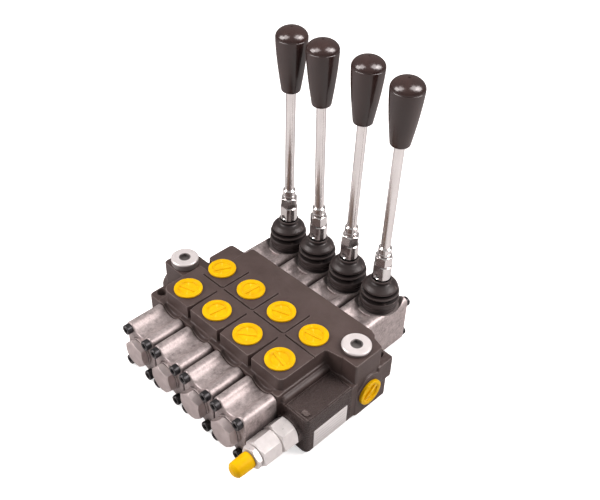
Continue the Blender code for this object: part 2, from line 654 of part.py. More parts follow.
def case_screws():
    """Thirty-two M5 socket head screws, sixteen through the spring caps and sixteen
    through the lever housings; thin strips inside the body join them as one group."""
    half = TIE_HALF
    end = SCREW_ROW_END + half
    low = CAP_LOBE_Z[0]
    spine = box(-half, half, TIE_FRONT_Y[0] + 0.2, TIE_BACK_Y[1] - 0.2, low - half, low + half)
    parts = []
    # strip y range, screw rows, face under the heads, screw tip, outward direction
    for strip, levels, seat, tip, outward in (
            (TIE_FRONT_Y, CAP_LOBE_Z, CAP_FRONT_Y - GAP, TIE_FRONT_Y[1] - GAP, -1),
            (TIE_BACK_Y, HOUSING_SCREW_Z, HOUSING_BACK_Y + GAP, TIE_BACK_Y[0] + GAP, 1)):
        parts += [box(-end, end, *strip, z - half, z + half) for z in levels]
        parts.append(box(-half, half, *strip, levels[0] - 0.5, levels[1] + 0.5))
        head = seat + outward * SCREW_HEAD_H
        profile = [(0, head), (SCREW_HEAD_R, head), (SCREW_HEAD_R, seat), (SCREW_R, seat),
                   (SCREW_R, tip), (0, tip)]
        for x in SECTIONS:
            for screw_x in lobe_places(x):
                for z in levels:
                    parts.append(turned(profile, (screw_x, 0, z), "Y", SCREW_SIDES))
    make("case_screws", spine, BLACK_OXIDE, joined=parts)


# ---- lever housings and boots -------------------------------------------------
SEAT_R = 17.2                   # round seat of the boot
SEAT_RIM_R = SEAT_R + 1.6
SEAT_Z = 43.5
SEAT_BASE_Z = 30
TAIL_BORE_R = 8.8               # bore for the spool's tail
LEVER_WELL_R = 7.8              # from the seat down to the spool
CUTTER_FRONT_Y = 50             # start of the cutters, in front of the housing

# Outside of the boot from its foot up. Columns: radius, height above the foot.
BOOT_OUTSIDE = [(16.3, 0.0), (16.3, 9.4), (15.4, 10.6), (12.4, 12.0), (12.4, 13.0),
                (15.6, 15.2), (15.3, 16.4), (12.3, 17.5), (12.3, 18.3), (13.9, 19.9),
                (13.0, 21.5), (8.0, 25.6), (8.9, 27.7)]
BOOT_INSIDE = [(10.4, 17.0), (11.0, 12.0), (12.6, 0.0)]     # from the top down
BOOT_TOP_Z = 72.5
BOOT_TOP_R = (8.7, 5.6)         # outside and inside


def lever_housing(name, x):
    # the seat rim is trimmed flush with the sides of the casting
    trim = math.degrees(math.acos((LOBE_X + LOBE_R) / SEAT_RIM_R))
    rim = (arc(x, PIVOT_Y, SEAT_RIM_R, trim, 180 - trim, 6)
           + arc(x, PIVOT_Y, SEAT_RIM_R, 180 + trim, 360 - trim, 6))
    cuts = [cylinder(SEAT_R, SEAT_Z, 60, (x, PIVOT_Y, 0), "Z", 18),
            cylinder(TAIL_BORE_R, CUTTER_FRONT_Y, 110, (x, 0, SPOOL_Z), "Y", 12),
            cylinder(LEVER_WELL_R, SPOOL_Z, 60, (x, PIVOT_Y, 0), "Z", 12)]
    for screw_x in lobe_places(x):
        for z in HOUSING_SCREW_Z:
            cuts.append(cylinder(SCREW_HOLE_R, CUTTER_FRONT_Y, 120, (screw_x, 0, z),
                                 "Y", SCREW_SIDES))
    make(name, prism(lobed(x, *HOUSING_LOBE_Z), BACK_Y + GAP, HOUSING_BACK_Y, "Y"), DIE_CAST,
         joined=[prism(rim, SEAT_BASE_Z, SEAT_Z)], cuts=cuts)


def lever_boot(name, x):
    foot = SEAT_Z + GAP
    profile = [(radius, foot + height) for radius, height in BOOT_OUTSIDE]
    profile += [(radius, BOOT_TOP_Z) for radius in BOOT_TOP_R]
    profile += [(radius, foot + height) for radius, height in BOOT_INSIDE]
    make(name, turned(profile, (x, PIVOT_Y, 0), "Z", 14), RUBBER)


# ---- levers -------------------------------------------------------------------
SPOOL_BALL_R = 4.0              # ball in the spool's pocket
PIVOT_BALL_R = 7.0
SOCKET_R = 7.4
SOCKET_FLAT = 6.4               # two flats, across the cross hole
SOCKET_Z = (73.0, 86.5)
CROSS_HOLE_R = 1.5
NUT_AF = 13.0
NUT_TURNS = (10, 25, 5, 18)     # degrees
NUT_Z = (86.8, 95.8)
ROD_R = 4.0
ROD_BORE_R = ROD_R + 0.6        # in the socket, the nut and the knob
ROD_Z = (78.5, 215.0)
COLLAR_R = 5.4
COLLAR_Z = (96.1, 104.0)
KNOB_Z = (198.4, 251.2)
KNOB_R = (7.8, 12.7)            # foot and widest point
KNOB_DOME_H = 6.6               # widest point to the top
LEAN_Z = 84.0                   # the rods stand slightly askew in their sockets
LEAN = ((0.4, 0.0), (-0.2, -1.9), (-1.9, -0.3), (-0.3, 0.9))   # degrees about X and Y


def lever_socket(name, x, parent):
    """Lower lever: a ball in the spool, the pivot ball and a head that takes the rod."""
    bottom, top = SOCKET_Z
    bore_floor = ROD_Z[0] - 1.0
    profile = [(0, SPOOL_Z - SPOOL_BALL_R)]
    profile += dome(SPOOL_BALL_R, SPOOL_BALL_R, SPOOL_Z, (-50, 0, 50))
    profile += [(2.6, SPOOL_Z + 4.5), (3.0, PIVOT_Z - 6.4)]
    profile += dome(PIVOT_BALL_R, PIVOT_BALL_R, PIVOT_Z, (-55, -18, 18, 47))
    profile += [(4.8, bottom + 0.3), (SOCKET_R, bottom + 0.3), (SOCKET_R, top),
                (ROD_BORE_R, top), (ROD_BORE_R, bore_floor), (0, bore_floor)]
    reach = 12                  # cutters extend this far from the lever's axis
    cuts = [box(x - reach, x + reach, front, back, bottom - 1, top + 1)
            for front, back in ((PIVOT_Y + SOCKET_FLAT, PIVOT_Y + reach),
                                (PIVOT_Y - reach, PIVOT_Y - SOCKET_FLAT))]
    cuts.append(cylinder(CROSS_HOLE_R, PIVOT_Y - reach, PIVOT_Y + reach,
                         (x, 0, bottom + 2.6), "Y", 6))
    obj = make(name, turned(profile, (x, PIVOT_Y, 0), "Z", 12), CHROME, cuts=cuts)
    origin_at(obj, (x, PIVOT_Y, PIVOT_Z))
    hang(obj, parent)


def lever_lock_nut(name, x, turn):
    hole = cylinder(ROD_BORE_R, 80, 100, (x, PIVOT_Y, 0), "Z", 10)
    return make(name, prism(hexagon(NUT_AF, turn, (x, PIVOT_Y)), *NUT_Z), CHROME, cuts=[hole])


def lever_rod(name, x):
    bottom, top = ROD_Z
    profile = [(0, bottom), (ROD_R, bottom), (ROD_R, COLLAR_Z[0]), (COLLAR_R, COLLAR_Z[0]),
               (COLLAR_R, COLLAR_Z[1]), (ROD_R, COLLAR_Z[1]), (ROD_R, top), (0, top)]
    return make(name, turned(profile, (x, PIVOT_Y, 0), "Z", 10), CHROME)


def lever_knob(name, x):
    """Knob with a blind bore: the profile meets the axis at its top and at the bore's end."""
    foot, wide = KNOB_R
    bottom, top = KNOB_Z
    bore_end = ROD_Z[1] + 0.5
    profile = [(ROD_BORE_R, bottom), (foot, bottom), (foot + (wide - foot) * 0.70, bottom + 26)]
    profile += dome(wide, KNOB_DOME_H, top - KNOB_DOME_H, (0, 34, 66))
    profile += [(0, top), (0, bore_end), (ROD_BORE_R, bore_end)]
    return make(name, turned(profile, (x, PIVOT_Y, 0), "Z", 14), KNOB_PLASTIC)


def lever_top(number, x, parent):
    """Nut, rod and knob, leaning together about a point in the socket."""
    pieces = (lever_lock_nut(f"lever_lock_nut_{number}", x, NUT_TURNS[number - 1]),
              lever_rod(f"lever_rod_{number}", x),
              lever_knob(f"lever_knob_{number}", x))
    lean_x, lean_y = LEAN[number - 1]
    foot_point = Matrix.Translation(Vector((x, PIVOT_Y, LEAN_Z)) * MM)
    lean = (foot_point @ Matrix.Rotation(math.radians(lean_x), 4, "X")
            @ Matrix.Rotation(math.radians(lean_y), 4, "Y") @ foot_point.inverted())
    for piece in pieces:
        piece.data.transform(lean)
        origin_at(piece, (x, PIVOT_Y, PIVOT_Z))
        hang(piece, parent)


# ---- assembly -----------------------------------------------------------------
valve_body()
port_plugs()
corner_plug("corner_plug_left", PLUG_LEFT, BOSS_LEFT_Z, CORNER_PLUG_TOPS[0])
corner_plug("corner_plug_right", PLUG_RIGHT, TOP_Z, CORNER_PLUG_TOPS[1])
relief_valve()

for number, x in enumerate(SECTIONS, 1):
    slide = empty(f"spool_{number}_axis", (x, 0, SPOOL_Z))
    spring_cap(f"spring_cap_{number}", x)
    end_plug(f"end_plug_{number}", x, END_PLUG_FACE_Y[number - 1], END_PLUG_TURNS[number - 1])
    spool(f"spool_{number}", x, slide)
    coil(f"centering_spring_{number}", (x, 0, SPOOL_Z), mean_r=8.2, wire_r=1.1,
         front=-58.0, back=-39.6, turns=3)
case_screws()

for number, x in enumerate(SECTIONS, 1):
    pivot = empty(f"lever_{number}_pivot", (x, PIVOT_Y, PIVOT_Z))
    lever_housing(f"lever_housing_{number}", x)
    lever_boot(f"lever_boot_{number}", x)
    lever_socket(f"lever_socket_{number}", x, pivot)
    lever_top(number, x, pivot)
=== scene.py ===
"""Hydraulic valve block with four levers.

The block stands on z = 0. Its four sections lie side by side along X, the spools run along Y,
spring caps and relief valve face the front (-Y), lever housings the back (+Y), levers point up.
Geometry is in millimetres and is scaled by MM; materials, lights and camera are in metres.
"""
import json
import math
from functools import reduce

import bmesh
import bpy
from mathutils import Matrix, Vector

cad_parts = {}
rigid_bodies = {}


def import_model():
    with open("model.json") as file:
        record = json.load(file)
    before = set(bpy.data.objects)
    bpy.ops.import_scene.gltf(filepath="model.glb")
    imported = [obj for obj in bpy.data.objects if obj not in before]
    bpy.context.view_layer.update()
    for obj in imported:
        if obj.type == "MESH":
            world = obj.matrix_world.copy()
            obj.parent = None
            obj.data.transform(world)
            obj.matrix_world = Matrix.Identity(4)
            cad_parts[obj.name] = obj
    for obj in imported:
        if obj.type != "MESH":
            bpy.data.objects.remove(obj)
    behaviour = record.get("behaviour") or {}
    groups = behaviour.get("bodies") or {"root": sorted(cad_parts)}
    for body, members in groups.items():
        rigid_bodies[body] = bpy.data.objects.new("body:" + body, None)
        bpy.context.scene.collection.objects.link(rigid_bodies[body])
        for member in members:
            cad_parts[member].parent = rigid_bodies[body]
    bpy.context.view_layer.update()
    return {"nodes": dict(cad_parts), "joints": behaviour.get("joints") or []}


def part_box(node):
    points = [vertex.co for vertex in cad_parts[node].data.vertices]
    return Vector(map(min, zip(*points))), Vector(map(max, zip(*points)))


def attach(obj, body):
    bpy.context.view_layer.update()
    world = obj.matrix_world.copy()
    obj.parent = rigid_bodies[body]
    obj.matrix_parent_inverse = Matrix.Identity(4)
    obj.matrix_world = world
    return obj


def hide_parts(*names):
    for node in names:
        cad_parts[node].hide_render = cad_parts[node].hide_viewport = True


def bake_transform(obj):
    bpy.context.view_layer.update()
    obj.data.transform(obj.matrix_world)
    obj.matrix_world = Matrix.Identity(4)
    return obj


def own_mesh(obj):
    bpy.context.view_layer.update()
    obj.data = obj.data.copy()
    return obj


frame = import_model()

for spare in ("Cube", "Light", "Camera"):
    old = bpy.data.objects.get(spare)
    if old is not None and spare not in frame["nodes"]:
        bpy.data.objects.remove(old, do_unlink=True)

MM = 0.001
ROOT = "valve_block"


def middle(node):
    low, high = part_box(node)
    return (low + high) / 2 / MM


def top_of(node):
    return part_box(node)[1].z / MM


# ---- positions shared by several pieces ------------------------------------------------
SECTIONS = [middle(f"spring_cap_{i}").x for i in (1, 2, 3, 4)]
HALF_PITCH = 18.0
SEAMS = [x + HALF_PITCH for x in SECTIONS[:3]]
SPOOL_Z = middle("spool_1").z
TOP_Z = top_of("valve_body")
# lever pivot, used where the frame has no tilt joint for lever 1
PIVOT_Y, PIVOT_Z = 96.0, 42.7
for joint in frame["joints"]:
    if joint["name"] == "lever_1_tilt":
        PIVOT_Y, PIVOT_Z = (place / MM for place in joint["pos_m"][1:])
PORT_ROWS = (middle("port_plug_a1").y, middle("port_plug_b1").y)
FRONT_Y, BACK_Y = -37.0, 56.0
CAP_FRONT_Y = -69.0
HOUSING_BACK_Y = 114.0
# lobed castings: heights of the lower and upper lobes, their distance from the middle, radius
CAP_LOBE_Z = (5.7, 39.6)
HOUSING_LOBE_Z = (5.7, 42.4)
HOUSING_SCREW_Z = (5.7, 39.8)
LOBE_X, LOBE_R = 12.15, 5.0
LOBE_DIP = 0.6
PLUG_LEFT = middle("corner_plug_left")
PLUG_RIGHT = middle("corner_plug_right")
PORT_RIGHT = middle("side_port_plug_right")
PORT_LEFT = middle("side_port_plug_left")
SIDE_X = 100.5
LEFT_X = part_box("side_port_plug_left")[0].x / MM + 2.8
BOSS_LEFT_Z = 54.0
RELIEF_SCREW = middle("relief_adjusting_screw")
RELIEF = (RELIEF_SCREW.x, 0, RELIEF_SCREW.z)
LUG_TOP_Z = 38.5
LUG_LEFT, LUG_RIGHT = (-85.1, -23.5), (89.6, 55.0)
SEAT_R, SEAT_Z = 17.2, 43.5


# ---- node materials --------------------------------------------------------------------
class Nodes:
    """Adds procedural nodes to a shader tree; most methods return an output socket."""

    def __init__(self, tree, space="Object"):
        self.tree = tree
        self.spot = self.node("ShaderNodeTexCoord").outputs[space]

    def feed(self, slot, value):
        """Link a socket into the slot, or set a plain value."""
        if isinstance(value, bpy.types.NodeSocket):
            self.tree.links.new(value, slot)
        elif slot.type == "RGBA":
            slot.default_value = (*value, 1.0)
        else:
            slot.default_value = value

    def fill(self, node, **inputs):
        for name, value in inputs.items():
            self.feed(node.inputs[name.replace("_", " ")], value)

    def node(self, kind, **inputs):
        made = self.tree.nodes.new(kind)
        self.fill(made, **inputs)
        return made

    def noise(self, scale, detail=3, rough=0.6, distort=0.0, stretch=None):
        where = self.spot
        if stretch:
            where = self.node("ShaderNodeMapping", Vector=where, Scale=stretch).outputs["Vector"]
        return self.node("ShaderNodeTexNoise", Vector=where, Scale=scale, Detail=detail,
                         Roughness=rough, Distortion=distort).outputs["Fac"]

    def cells(self, scale):
        made = self.node("ShaderNodeTexVoronoi", Vector=self.spot, Scale=scale)
        return made.outputs["Distance"]

    def ramp(self, value, *stops):
        """Colour ramp through (position, colour) stops."""
        made = self.node("ShaderNodeValToRGB", Fac=value)
        ends = made.color_ramp.elements
        while len(ends) < len(stops):
            ends.new(0.5)
        for end, (position, colour) in zip(ends, stops):
            end.position = position
            end.color = (*colour, 1.0)
        return made.outputs["Color"]

    def tones(self, value, dark, light, start=0.3, end=0.7):
        return self.ramp(value, (start, dark), (end, light))

    def remap(self, value, source, target):
        made = self.node("ShaderNodeMapRange", Value=value, From_Min=source[0],
                         From_Max=source[1], To_Min=target[0], To_Max=target[1])
        return made.outputs["Result"]

    def rise(self, value, start, end, peak=1.0):
        """0 up to start, peak from end on."""
        return self.remap(value, (start, end), (0.0, peak))

    def fall(self, value, start, end, peak=1.0):
        """Peak up to start, 0 from end on."""
        return self.remap(value, (start, end), (peak, 0.0))

    def spread(self, noise, low, high):
        """The middle range of a noise stretched from low to high."""
        return self.remap(noise, (0.3, 0.7), (low, high))

    def maths(self, kind, *values):
        made = self.node("ShaderNodeMath")
        made.operation = kind
        for slot, value in zip(made.inputs, values):
            self.feed(slot, value)
        return made.outputs[0]

    def times(self, *values):
        return reduce(lambda one, two: self.maths("MULTIPLY", one, two), values)

    def plus(self, *values):
        return reduce(lambda one, two: self.maths("ADD", one, two), values)

    def mix(self, base, over, amount):
        made = self.node("ShaderNodeMix")
        made.data_type = "RGBA"
        slots = {slot.identifier: slot for slot in made.inputs}
        self.feed(slots["Factor_Float"], amount)
        self.feed(slots["A_Color"], base)
        self.feed(slots["B_Color"], over)
        return next(slot for slot in made.outputs if slot.identifier == "Result_Color")

    def bump(self, height, strength, distance):
        made = self.node("ShaderNodeBump", Height=height, Strength=strength, Distance=distance)
        return made.outputs["Normal"]

    def edges(self, start, end):
        """Towards 1 on convex edges."""
        return self.rise(self.node("ShaderNodeNewGeometry").outputs["Pointiness"], start, end)

    def hollows(self, distance):
        """1 in the open, towards 0 in grooves and between parts; used for painted shade."""
        made = self.node("ShaderNodeAmbientOcclusion", Distance=distance)
        made.samples = 4
        return made.outputs["AO"]

    def ray(self, kind):
        """1 for rays of this kind, else 0."""
        return self.node("ShaderNodeLightPath").outputs[f"Is {kind} Ray"]

    def part(self, axis):
        return self.node("ShaderNodeSeparateXYZ", Vector=self.spot).outputs[axis]


class Shade(Nodes):
    """A Principled material."""

    def __init__(self, name):
        self.material = bpy.data.materials.new(name)
        self.material.use_nodes = True
        super().__init__(self.material.node_tree)

    def finish(self, **inputs):
        self.fill(self.tree.nodes["Principled BSDF"], **inputs)
        return self.material


def body_paint():
    mat = Shade("body_paint_cast")
    grain = mat.noise(scale=900)
    colour = mat.tones(mat.noise(scale=55, detail=4), dark=(0.058, 0.038, 0.034),
                       light=(0.080, 0.055, 0.050))
    colour = mat.mix(colour, (0.115, 0.086, 0.079), mat.rise(grain, start=0.50, end=0.75, peak=0.30))
    patches = mat.remap(mat.noise(scale=140), source=(0.35, 0.65), target=(0.25, 1.0))
    worn = mat.times(mat.edges(start=0.512, end=0.56), patches)
    colour = mat.mix(colour, (0.27, 0.22, 0.205), worn)
    # the relief block's top is left rough from the mould
    rough_zone = mat.times(mat.rise(mat.part("X"), start=0.0755, end=0.0775),
                           mat.fall(mat.part("Y"), start=0.0135, end=0.0155),
                           mat.fall(mat.part("Z"), start=0.0400, end=0.0412))
    dark_pits = mat.remap(mat.cells(scale=620), source=(0.0, 0.5), target=(0.90, 0.45))
    colour = mat.mix(colour, (0.026, 0.016, 0.015), mat.times(rough_zone, dark_pits))
    coarse = mat.plus(mat.noise(scale=650, detail=4, rough=0.7), mat.cells(scale=620))
    height = mat.plus(mat.times(grain, 0.55),
                      mat.times(mat.noise(scale=2600, detail=2, rough=0.5), 0.22),
                      mat.times(mat.noise(scale=260, detail=2, rough=0.5), 0.9),
                      mat.times(mat.times(rough_zone, coarse), 8.0))
    return mat.finish(Base_Color=colour, Roughness=mat.spread(grain, low=0.40, high=0.56),
                      Metallic=0.0, Normal=mat.bump(height, strength=0.55, distance=0.00016))


def die_cast():
    mat = Shade("die_cast_metal_finish")
    streak = mat.noise(scale=1500, detail=4, rough=0.65, stretch=(1.0, 0.10, 1.0))
    cloud = mat.noise(scale=110, detail=5, rough=0.68, distort=0.5)
    mottle = mat.noise(scale=420, detail=4, rough=0.7)
    colour = mat.tones(cloud, dark=(0.30, 0.255, 0.25), light=(0.58, 0.51, 0.50),
                       start=0.34, end=0.66)
    colour = mat.mix(colour, (0.72, 0.645, 0.635), mat.rise(mottle, start=0.42, end=0.66, peak=0.70))
    colour = mat.mix(colour, (0.66, 0.60, 0.59), mat.rise(streak, start=0.45, end=0.75, peak=0.35))
    pits = mat.fall(mat.cells(scale=300), start=0.02, end=0.20)
    colour = mat.mix(colour, (0.22, 0.19, 0.185), mat.times(pits, 0.35))
    # painted shade: darker in the gaps between parts and in grooves, from ambient occlusion
    painted_hollow_shade = mat.fall(mat.hollows(distance=0.006), start=0.25, end=0.85, peak=0.75)
    colour = mat.mix(colour, (0.12, 0.098, 0.095), painted_hollow_shade)
    rough = mat.plus(mat.spread(cloud, low=0.46, high=0.56), mat.spread(mottle, low=-0.05, high=0.06))
    height = mat.plus(mat.times(streak, 0.45), mat.times(mat.noise(scale=1700), 0.6),
                      mat.times(mottle, 0.8))
    return mat.finish(Base_Color=colour, Roughness=rough, Metallic=0.74,
                      Normal=mat.bump(height, strength=0.5, distance=0.00012))


def end_plug_metal():
    mat = Shade("end_plug_metal_finish")
    cloud = mat.noise(scale=140, detail=4)
    grain = mat.noise(scale=1900)
    colour = mat.tones(cloud, dark=(0.50, 0.435, 0.425), light=(0.64, 0.565, 0.555))
    colour = mat.mix(colour, (0.78, 0.72, 0.71), mat.edges(start=0.52, end=0.62))
    return mat.finish(Base_Color=colour, Roughness=mat.spread(grain, low=0.36, high=0.50),
                      Metallic=0.85,
                      Normal=mat.bump(mat.plus(grain, cloud), strength=0.35, distance=0.00006))


def zinc():
    mat = Shade("zinc_steel_finish")
    cloud = mat.noise(scale=160, detail=4)
    line = mat.noise(scale=2200, detail=2, rough=0.5, stretch=(1.0, 0.12, 0.5))
    colour = mat.tones(cloud, dark=(0.76, 0.73, 0.72), light=(0.88, 0.85, 0.84))
    rough = mat.plus(mat.spread(cloud, low=0.28, high=0.38), mat.spread(line, low=-0.03, high=0.05))
    height = mat.plus(line, mat.noise(scale=900, rough=0.5))
    return mat.finish(Base_Color=colour, Metallic=0.55, Roughness=rough,
                      Normal=mat.bump(height, strength=0.18, distance=0.00003))


def plug_zinc(name, centre, top):
    """Turned zinc face; the socket in the middle and the flange side below the face are darkened as
    painted shade.
    """
    mat = Shade(name)
    cloud = mat.noise(scale=160, detail=4)
    along_x = mat.maths("SUBTRACT", mat.part("X"), centre.x * MM)
    along_y = mat.maths("SUBTRACT", mat.part("Y"), centre.y * MM)
    away = mat.maths("SQRT", mat.plus(mat.times(along_x, along_x), mat.times(along_y, along_y)))
    rings = mat.maths("SINE", mat.times(away, 9000.0))
    # painted shade on the flange side below the top face
    rim = mat.fall(mat.part("Z"), start=top - 0.0019, end=top - 0.0013)
    colour = mat.tones(cloud, dark=(0.78, 0.745, 0.735), light=(0.86, 0.825, 0.815))
    colour = mat.mix(colour, (0.13, 0.105, 0.10), mat.times(rim, 0.85))
    # painted shade inside the hexagon socket
    colour = mat.mix(colour, (0.16, 0.15, 0.145), mat.fall(away, start=0.0048, end=0.0051))
    height = mat.plus(mat.times(rings, 0.4), mat.noise(scale=1400))
    return mat.finish(Base_Color=colour, Metallic=0.45,
                      Roughness=mat.spread(cloud, low=0.34, high=0.44),
                      Normal=mat.bump(height, strength=0.12, distance=0.00002))


def black_oxide():
    mat = Shade("black_oxide_finish")
    cloud = mat.noise(scale=420, detail=4)
    grain = mat.noise(scale=3000, detail=2, rough=0.5)
    colour = mat.tones(cloud, dark=(0.030, 0.030, 0.033), light=(0.062, 0.060, 0.062))
    colour = mat.mix(colour, (0.20, 0.19, 0.19), mat.times(mat.edges(start=0.55, end=0.75), 0.7))
    return mat.finish(Base_Color=colour, Metallic=0.7,
                      Roughness=mat.spread(cloud, low=0.30, high=0.46),
                      Normal=mat.bump(grain, strength=0.25, distance=0.00004))


def rubber():
    mat = Shade("black_rubber_finish")
    cloud = mat.noise(scale=90, detail=4)
    colour = mat.tones(cloud, dark=(0.019, 0.013, 0.0125), light=(0.031, 0.0215, 0.0205))
    dust = mat.rise(mat.noise(scale=900, rough=0.7), start=0.55, end=0.85, peak=0.35)
    colour = mat.mix(colour, (0.060, 0.045, 0.043), dust)
    # painted highlight: lighter on the rib edges
    colour = mat.mix(colour, (0.105, 0.080, 0.076), mat.edges(start=0.505, end=0.55))
    # painted shade: darker deep in the bellows grooves, from ambient occlusion
    painted_hollow_shade = mat.fall(mat.hollows(distance=0.005), start=0.25, end=0.85, peak=0.95)
    colour = mat.mix(colour, (0.005, 0.004, 0.004), painted_hollow_shade)
    height = mat.plus(mat.noise(scale=2200), mat.noise(scale=380))
    return mat.finish(Base_Color=colour, Roughness=mat.spread(cloud, low=0.36, high=0.50),
                      Normal=mat.bump(height, strength=0.35, distance=0.00008))


def chrome():
    mat = Shade("chrome_finish")
    scratch = mat.noise(scale=2600, stretch=(1.0, 1.0, 0.03))
    cloud = mat.noise(scale=60, rough=0.5)
    colour = mat.tones(cloud, dark=(0.80, 0.775, 0.765), light=(0.90, 0.88, 0.87))
    rough = mat.plus(mat.spread(cloud, low=0.15, high=0.21),
                     mat.rise(scratch, start=0.35, end=0.7, peak=0.06))
    return mat.finish(Base_Color=colour, Metallic=1.0, Roughness=rough,
                      Normal=mat.bump(scratch, strength=0.12, distance=0.00002))


def knob_plastic():
    mat = Shade("knob_plastic_finish")
    cloud = mat.noise(scale=45, detail=4)
    grain = mat.noise(scale=900, detail=2, rough=0.5)
    colour = mat.tones(cloud, dark=(0.017, 0.0085, 0.0075), light=(0.030, 0.0155, 0.0135))
    return mat.finish(Base_Color=colour,
                      Roughness=mat.spread(mat.noise(scale=600), low=0.20, high=0.27),
                      IOR=1.52, Coat_Weight=0.25, Coat_Roughness=0.12,
                      Normal=mat.bump(grain, strength=0.05, distance=0.00002))


def yellow_plastic():
    mat = Shade("yellow_plastic_finish")
    cloud = mat.noise(scale=120, detail=4)
    colour = mat.tones(cloud, dark=(0.73, 0.400, 0.0006), light=(0.87, 0.525, 0.0012),
                       start=0.28, end=0.70)
    colour = mat.mix(colour, (0.98, 0.64, 0.06), mat.times(mat.edges(start=0.52, end=0.60), 0.6))
    # painted shade: darker orange in grooves and under edges, from ambient occlusion
    painted_hollow_shade = mat.fall(mat.hollows(distance=0.003), start=0.3, end=0.9, peak=0.6)
    colour = mat.mix(colour, (0.66, 0.30, 0.0005), painted_hollow_shade)
    # reflections see a duller yellow
    colour = mat.mix(colour, (0.20, 0.14, 0.10), mat.ray("Glossy"))
    height = mat.plus(mat.noise(scale=1800), mat.noise(scale=350, detail=2, rough=0.5))
    return mat.finish(Base_Color=colour, Roughness=mat.spread(cloud, low=0.30, high=0.42),
                      Subsurface_Weight=0.08, Subsurface_Radius=(0.004, 0.002, 0.0004),
                      Subsurface_Scale=0.5, Specular_IOR_Level=0.10,
                      Normal=mat.bump(height, strength=0.18, distance=0.00006))


def ground_steel():
    mat = Shade("ground_steel_finish")
    rings = mat.noise(scale=2400, stretch=(0.08, 1.0, 0.08))
    colour = mat.tones(mat.noise(scale=90, rough=0.5), dark=(0.50, 0.50, 0.50),
                       light=(0.64, 0.64, 0.64))
    return mat.finish(Base_Color=colour, Metallic=1.0,
                      Roughness=mat.spread(rings, low=0.16, high=0.30),
                      Normal=mat.bump(rings, strength=0.2, distance=0.00003))


def spring_steel():
    mat = Shade("spring_steel_finish")
    cloud = mat.noise(scale=300)
    grain = mat.noise(scale=2500, detail=2, rough=0.5)
    colour = mat.tones(cloud, dark=(0.30, 0.30, 0.31), light=(0.46, 0.46, 0.47))
    return mat.finish(Base_Color=colour, Metallic=1.0,
                      Roughness=mat.spread(cloud, low=0.28, high=0.42),
                      Normal=mat.bump(grain, strength=0.2, distance=0.00003))


def label_foil():
    """Blank plate with plain printed rules, no lettering."""
    mat = Shade("label_plate_finish")
    y, z = mat.part("Y"), mat.part("Z")
    brushed = mat.noise(scale=2600, stretch=(1.0, 0.04, 1.0))
    colour = mat.tones(brushed, dark=(0.76, 0.735, 0.73), light=(0.88, 0.86, 0.855))
    # rules start at z = 0.0068 and repeat every 2 * 0.00155
    from_rule = mat.maths("PINGPONG", mat.maths("SUBTRACT", z, 0.0068), 0.00155)
    rules = mat.fall(from_rule, start=0.00010, end=0.00022)
    inside_y = mat.times(mat.rise(y, start=-0.0245, end=-0.0243),
                         mat.fall(y, start=0.0073, end=0.0075))
    inside_z = mat.times(mat.rise(z, start=0.0060, end=0.0062),
                         mat.fall(z, start=0.0213, end=0.0215))
    printed = mat.times(rules, mat.times(inside_y, inside_z), 0.55)
    colour = mat.mix(colour, (0.16, 0.15, 0.15), printed)
    return mat.finish(Base_Color=colour, Metallic=0.25,
                      Roughness=mat.spread(brushed, low=0.34, high=0.46),
                      Normal=mat.bump(brushed, strength=0.15, distance=0.00003))


def studio_floor():
    """Near white to the camera; dimmer to reflections and bounced light, most at the back."""
    mat = Shade("studio_floor_finish")
    pale = mat.tones(mat.noise(scale=3.0, rough=0.5), dark=(0.93, 0.93, 0.93),
                     light=(0.95, 0.95, 0.95))
    seen = mat.ray("Camera")
    nearness = mat.maths("SUBTRACT", mat.times(mat.part("X"), 0.693),
                         mat.times(mat.part("Y"), 0.721))
    dim = mat.ramp(mat.rise(nearness, start=-0.36, end=0.06), (0.0, (0.26, 0.25, 0.25)),
                   (0.45, (0.46, 0.45, 0.45)), (1.0, (0.60, 0.59, 0.59)))
    glow = mat.remap(seen, source=(0.0, 1.0), target=(0.02, 0.60))
    return mat.finish(Base_Color=mat.mix(dim, pale, seen), Roughness=0.8,
                      Emission_Color=(1.0, 1.0, 1.0), Emission_Strength=glow,
                      Specular_IOR_Level=0.0)


PAINT = body_paint()
CAST = die_cast()
PLUG_METAL = end_plug_metal()
ZINC = zinc()
PLUG_ZINC = {"left": plug_zinc("plug_zinc_left", PLUG_LEFT, top=0.0610),
             "right": plug_zinc("plug_zinc_right", PLUG_RIGHT, top=0.0620)}
OXIDE = black_oxide()
RUBBER = rubber()
CHROME = chrome()
KNOB = knob_plastic()
YELLOW = yellow_plastic()
STEEL = ground_steel()
SPRING = spring_steel()
LABEL = label_foil()


# ---- outlines --------------------------------------------------------------------------
def arc(centre_x, centre_y, radius, start, end, steps):
    angles = [math.radians(start + (end - start) * i / steps) for i in range(steps + 1)]
    return [(centre_x + radius * math.cos(angle), centre_y + radius * math.sin(angle))
            for angle in angles]


def ball(radius, z, angles):
    """Profile points of a ball at height z, at these latitudes in degrees."""
    return [(radius * math.cos(math.radians(angle)), z + radius * math.sin(math.radians(angle)))
            for angle in angles]


def half_angle(one, two):
    return math.acos(max(-1.0, min(1.0, one.dot(two)))) / 2


def rounded(corners, steps=7):
    """Outline of (x, y, radius) corners, each turned into an arc."""
    out = []
    for i, (x, y, radius) in enumerate(corners):
        if radius <= 0:
            out.append((x, y))
            continue
        here = Vector((x, y))
        before = (Vector(corners[i - 1][:2]) - here).normalized()
        after = (Vector(corners[(i + 1) % len(corners)][:2]) - here).normalized()
        half = half_angle(before, after)
        centre = here + (before + after).normalized() * (radius / math.sin(half))
        start = here + before * (radius / math.tan(half)) - centre
        end = here + after * (radius / math.tan(half)) - centre
        first = math.atan2(start.y, start.x)
        sweep = (math.atan2(end.y, end.x) - first + math.pi) % (2 * math.pi) - math.pi
        for k in range(steps + 1):
            angle = first + sweep * k / steps
            out.append((centre.x + radius * math.cos(angle), centre.y + radius * math.sin(angle)))
    return out


